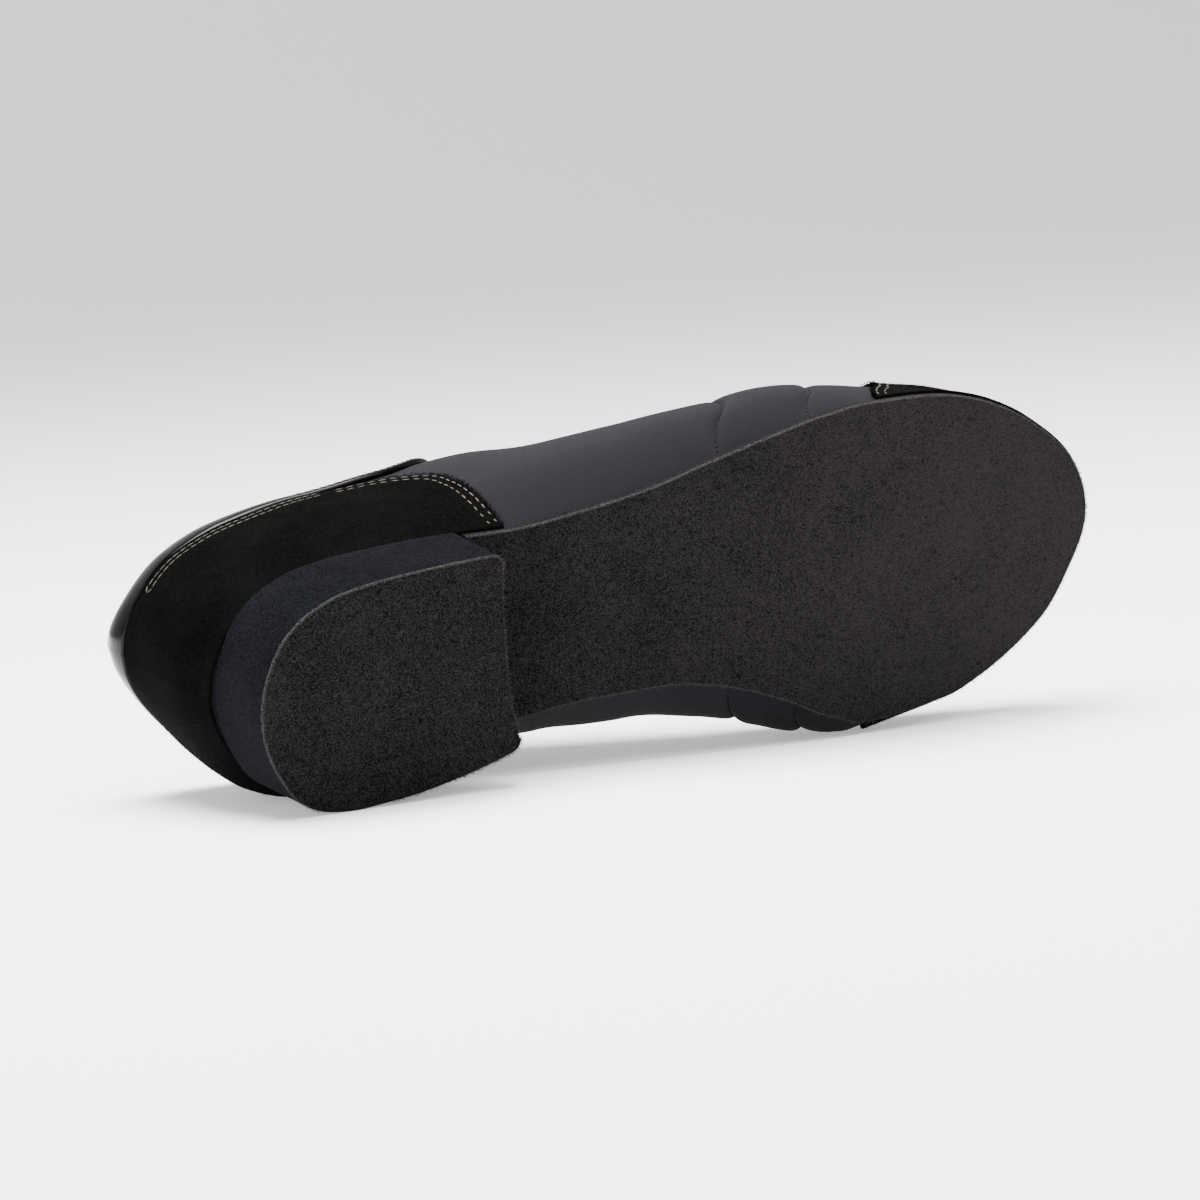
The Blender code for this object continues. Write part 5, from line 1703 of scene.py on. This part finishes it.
# The camera in the shoe's upright frame: how it is turned about the sole, how far away and what it looks at
CAMERA_AZIMUTH = -31.758
CAMERA_ELEVATION = 19.582
CAMERA_ROLL = -3.254
CAMERA_DISTANCE = 1.3990
CAMERA_TARGET = (0.110636, -0.010366, 0.0)
CAMERA_LENS = 149.45
SENSOR_WIDTH = 36.0

# The paper sweep: its width, where it starts and bends up, its height and the radius of the bend, in metres
SWEEP_WIDTH, SWEEP_NEAR, SWEEP_FAR, SWEEP_HEIGHT, SWEEP_BEND = 14.0, -6.0, 3.0, 4.0, 1.5

# Soft boxes, which all point at the shoe's middle: place and size in metres, power in watts
AIM = Vector((0, 0, 0.05))
LIGHT_COLUMNS = ("name", "place", "width", "height", "power")
LIGHTS = (
    ("key_soft_box", (0.70, -1.10, 1.30), 1.00, 0.80, 18.0),
    ("top_soft_box", (-0.10, 0.10, 1.50), 1.40, 0.90, 125.0),
    ("left_soft_box", (-1.60, 0.20, 0.70), 0.60, 0.90, 9.0),
    ("front_soft_box", (-0.60, -1.70, 0.55), 0.90, 0.60, 4.0),
)


def camera_frame():
    """The camera's place and turn for the upright shoe, laid down with it."""
    azimuth, elevation, roll = (math.radians(a) for a in (CAMERA_AZIMUTH, CAMERA_ELEVATION, CAMERA_ROLL))
    level = math.cos(elevation)
    back = Vector((math.sin(azimuth) * level, math.sin(elevation), math.cos(azimuth) * level))
    right = Vector((0, 1, 0)).cross(back).normalized()
    up = back.cross(right)
    turned_right = right * math.cos(roll) + up * math.sin(roll)
    turned_up = up * math.cos(roll) - right * math.sin(roll)
    sole_down = Matrix(((1, 0, 0), (0, -1, 0), (0, 0, -1)))
    ways = [sole_down @ way for way in (turned_right, turned_up, back)]
    place = Vector(CAMERA_TARGET) + CAMERA_DISTANCE * ways[2]
    turn = Matrix([LAY_TURN @ way for way in ways]).transposed()
    return LAY_TURN @ place + LAY_ORIGIN, turn


def sweep_mesh():
    """Background paper: a floor that bends up into a wall."""
    angles = np.linspace(0, math.pi / 2, 24)
    profile = [(SWEEP_NEAR, 0.0), (0.0, 0.0)]
    profile += [(SWEEP_FAR + SWEEP_BEND * math.sin(a), SWEEP_BEND * (1 - math.cos(a))) for a in angles]
    profile.append((SWEEP_FAR + SWEEP_BEND, SWEEP_HEIGHT))
    points = [(x, depth, rise) for depth, rise in profile for x in (-SWEEP_WIDTH / 2, SWEEP_WIDTH / 2)]
    faces = [(a, a + 1, a + 3, a + 2) for a in range(0, 2 * len(profile) - 2, 2)]
    mesh = bpy.data.meshes.new("paper_sweep")
    mesh.from_pydata(points, [], faces)
    mesh.shade_smooth()
    return mesh


class DANCESHOE_OT_stage(bpy.types.Operator):
    """Set the paper sweep, the soft boxes and the camera"""

    bl_idname = "dance_shoe.stage"
    bl_label = "Stage"

    def execute(self, context):
        sweep = link("paper_sweep", sweep_mesh())
        sweep.data.materials.append(background_paper(context.scene.dance_shoe_colours))
        for row in LIGHTS:
            light = dict(zip(LIGHT_COLUMNS, row))
            data = bpy.data.lights.new(light["name"], "AREA")
            data.shape = "RECTANGLE"
            data.size, data.size_y, data.energy = light["width"], light["height"], light["power"]
            lamp = link(light["name"], data)
            lamp.location = light["place"]
            lamp.rotation_euler = (AIM - lamp.location).to_track_quat("-Z", "Y").to_euler()
        world = bpy.data.worlds.new("Studio air")
        world.use_nodes = True
        fill(world.node_tree, world.node_tree.nodes["Background"], {"Color": WHITE, "Strength": 0.6})
        context.scene.world = world
        data = bpy.data.cameras.new("camera")
        data.sensor_width, data.lens = SENSOR_WIDTH, CAMERA_LENS
        data.clip_start, data.clip_end = 0.05, 50
        camera = link("camera", data)
        place, turn = camera_frame()
        camera.matrix_world = Matrix.Translation(place) @ turn.to_4x4()
        context.scene.camera = camera
        return {"FINISHED"}


# ---- panel and registration


OPERATORS = (
    DANCESHOE_OT_stage,
    DANCESHOE_OT_upper,
    DANCESHOE_OT_counter,
    DANCESHOE_OT_toe_cap,
    DANCESHOE_OT_collar,
    DANCESHOE_OT_tongue,
    DANCESHOE_OT_outsole,
    DANCESHOE_OT_heel,
    DANCESHOE_OT_insole,
    DANCESHOE_OT_lace,
    DANCESHOE_OT_eyelets,
    DANCESHOE_OT_seams,
    DANCESHOE_OT_nap,
)


class DANCESHOE_PT_panel(bpy.types.Panel):
    """Lists the shoe's pieces with their colours and sizes"""

    bl_label = "Dance shoe"
    bl_idname = "DANCESHOE_PT_panel"
    bl_space_type = "VIEW_3D"
    bl_region_type = "UI"
    bl_category = "Dance shoe"

    def draw(self, context):
        for operator in OPERATORS:
            self.layout.operator(operator.bl_idname)
        for group in (context.scene.dance_shoe_colours, context.scene.dance_shoe_sizes):
            box = self.layout.box()
            for name in group.__annotations__:
                box.prop(group, name)


CLASSES = (DanceShoeColours, DanceShoeSizes, *OPERATORS, DANCESHOE_PT_panel)


def register():
    for one in CLASSES:
        bpy.utils.register_class(one)
    bpy.types.Scene.dance_shoe_colours = PointerProperty(type=DanceShoeColours)
    bpy.types.Scene.dance_shoe_sizes = PointerProperty(type=DanceShoeSizes)


def unregister():
    del bpy.types.Scene.dance_shoe_sizes
    del bpy.types.Scene.dance_shoe_colours
    for one in reversed(CLASSES):
        bpy.utils.unregister_class(one)


def main():
    register()
    for operator in OPERATORS:
        group, name = operator.bl_idname.split(".")
        getattr(getattr(bpy.ops, group), name)()


if __name__ == "__main__":
    main()
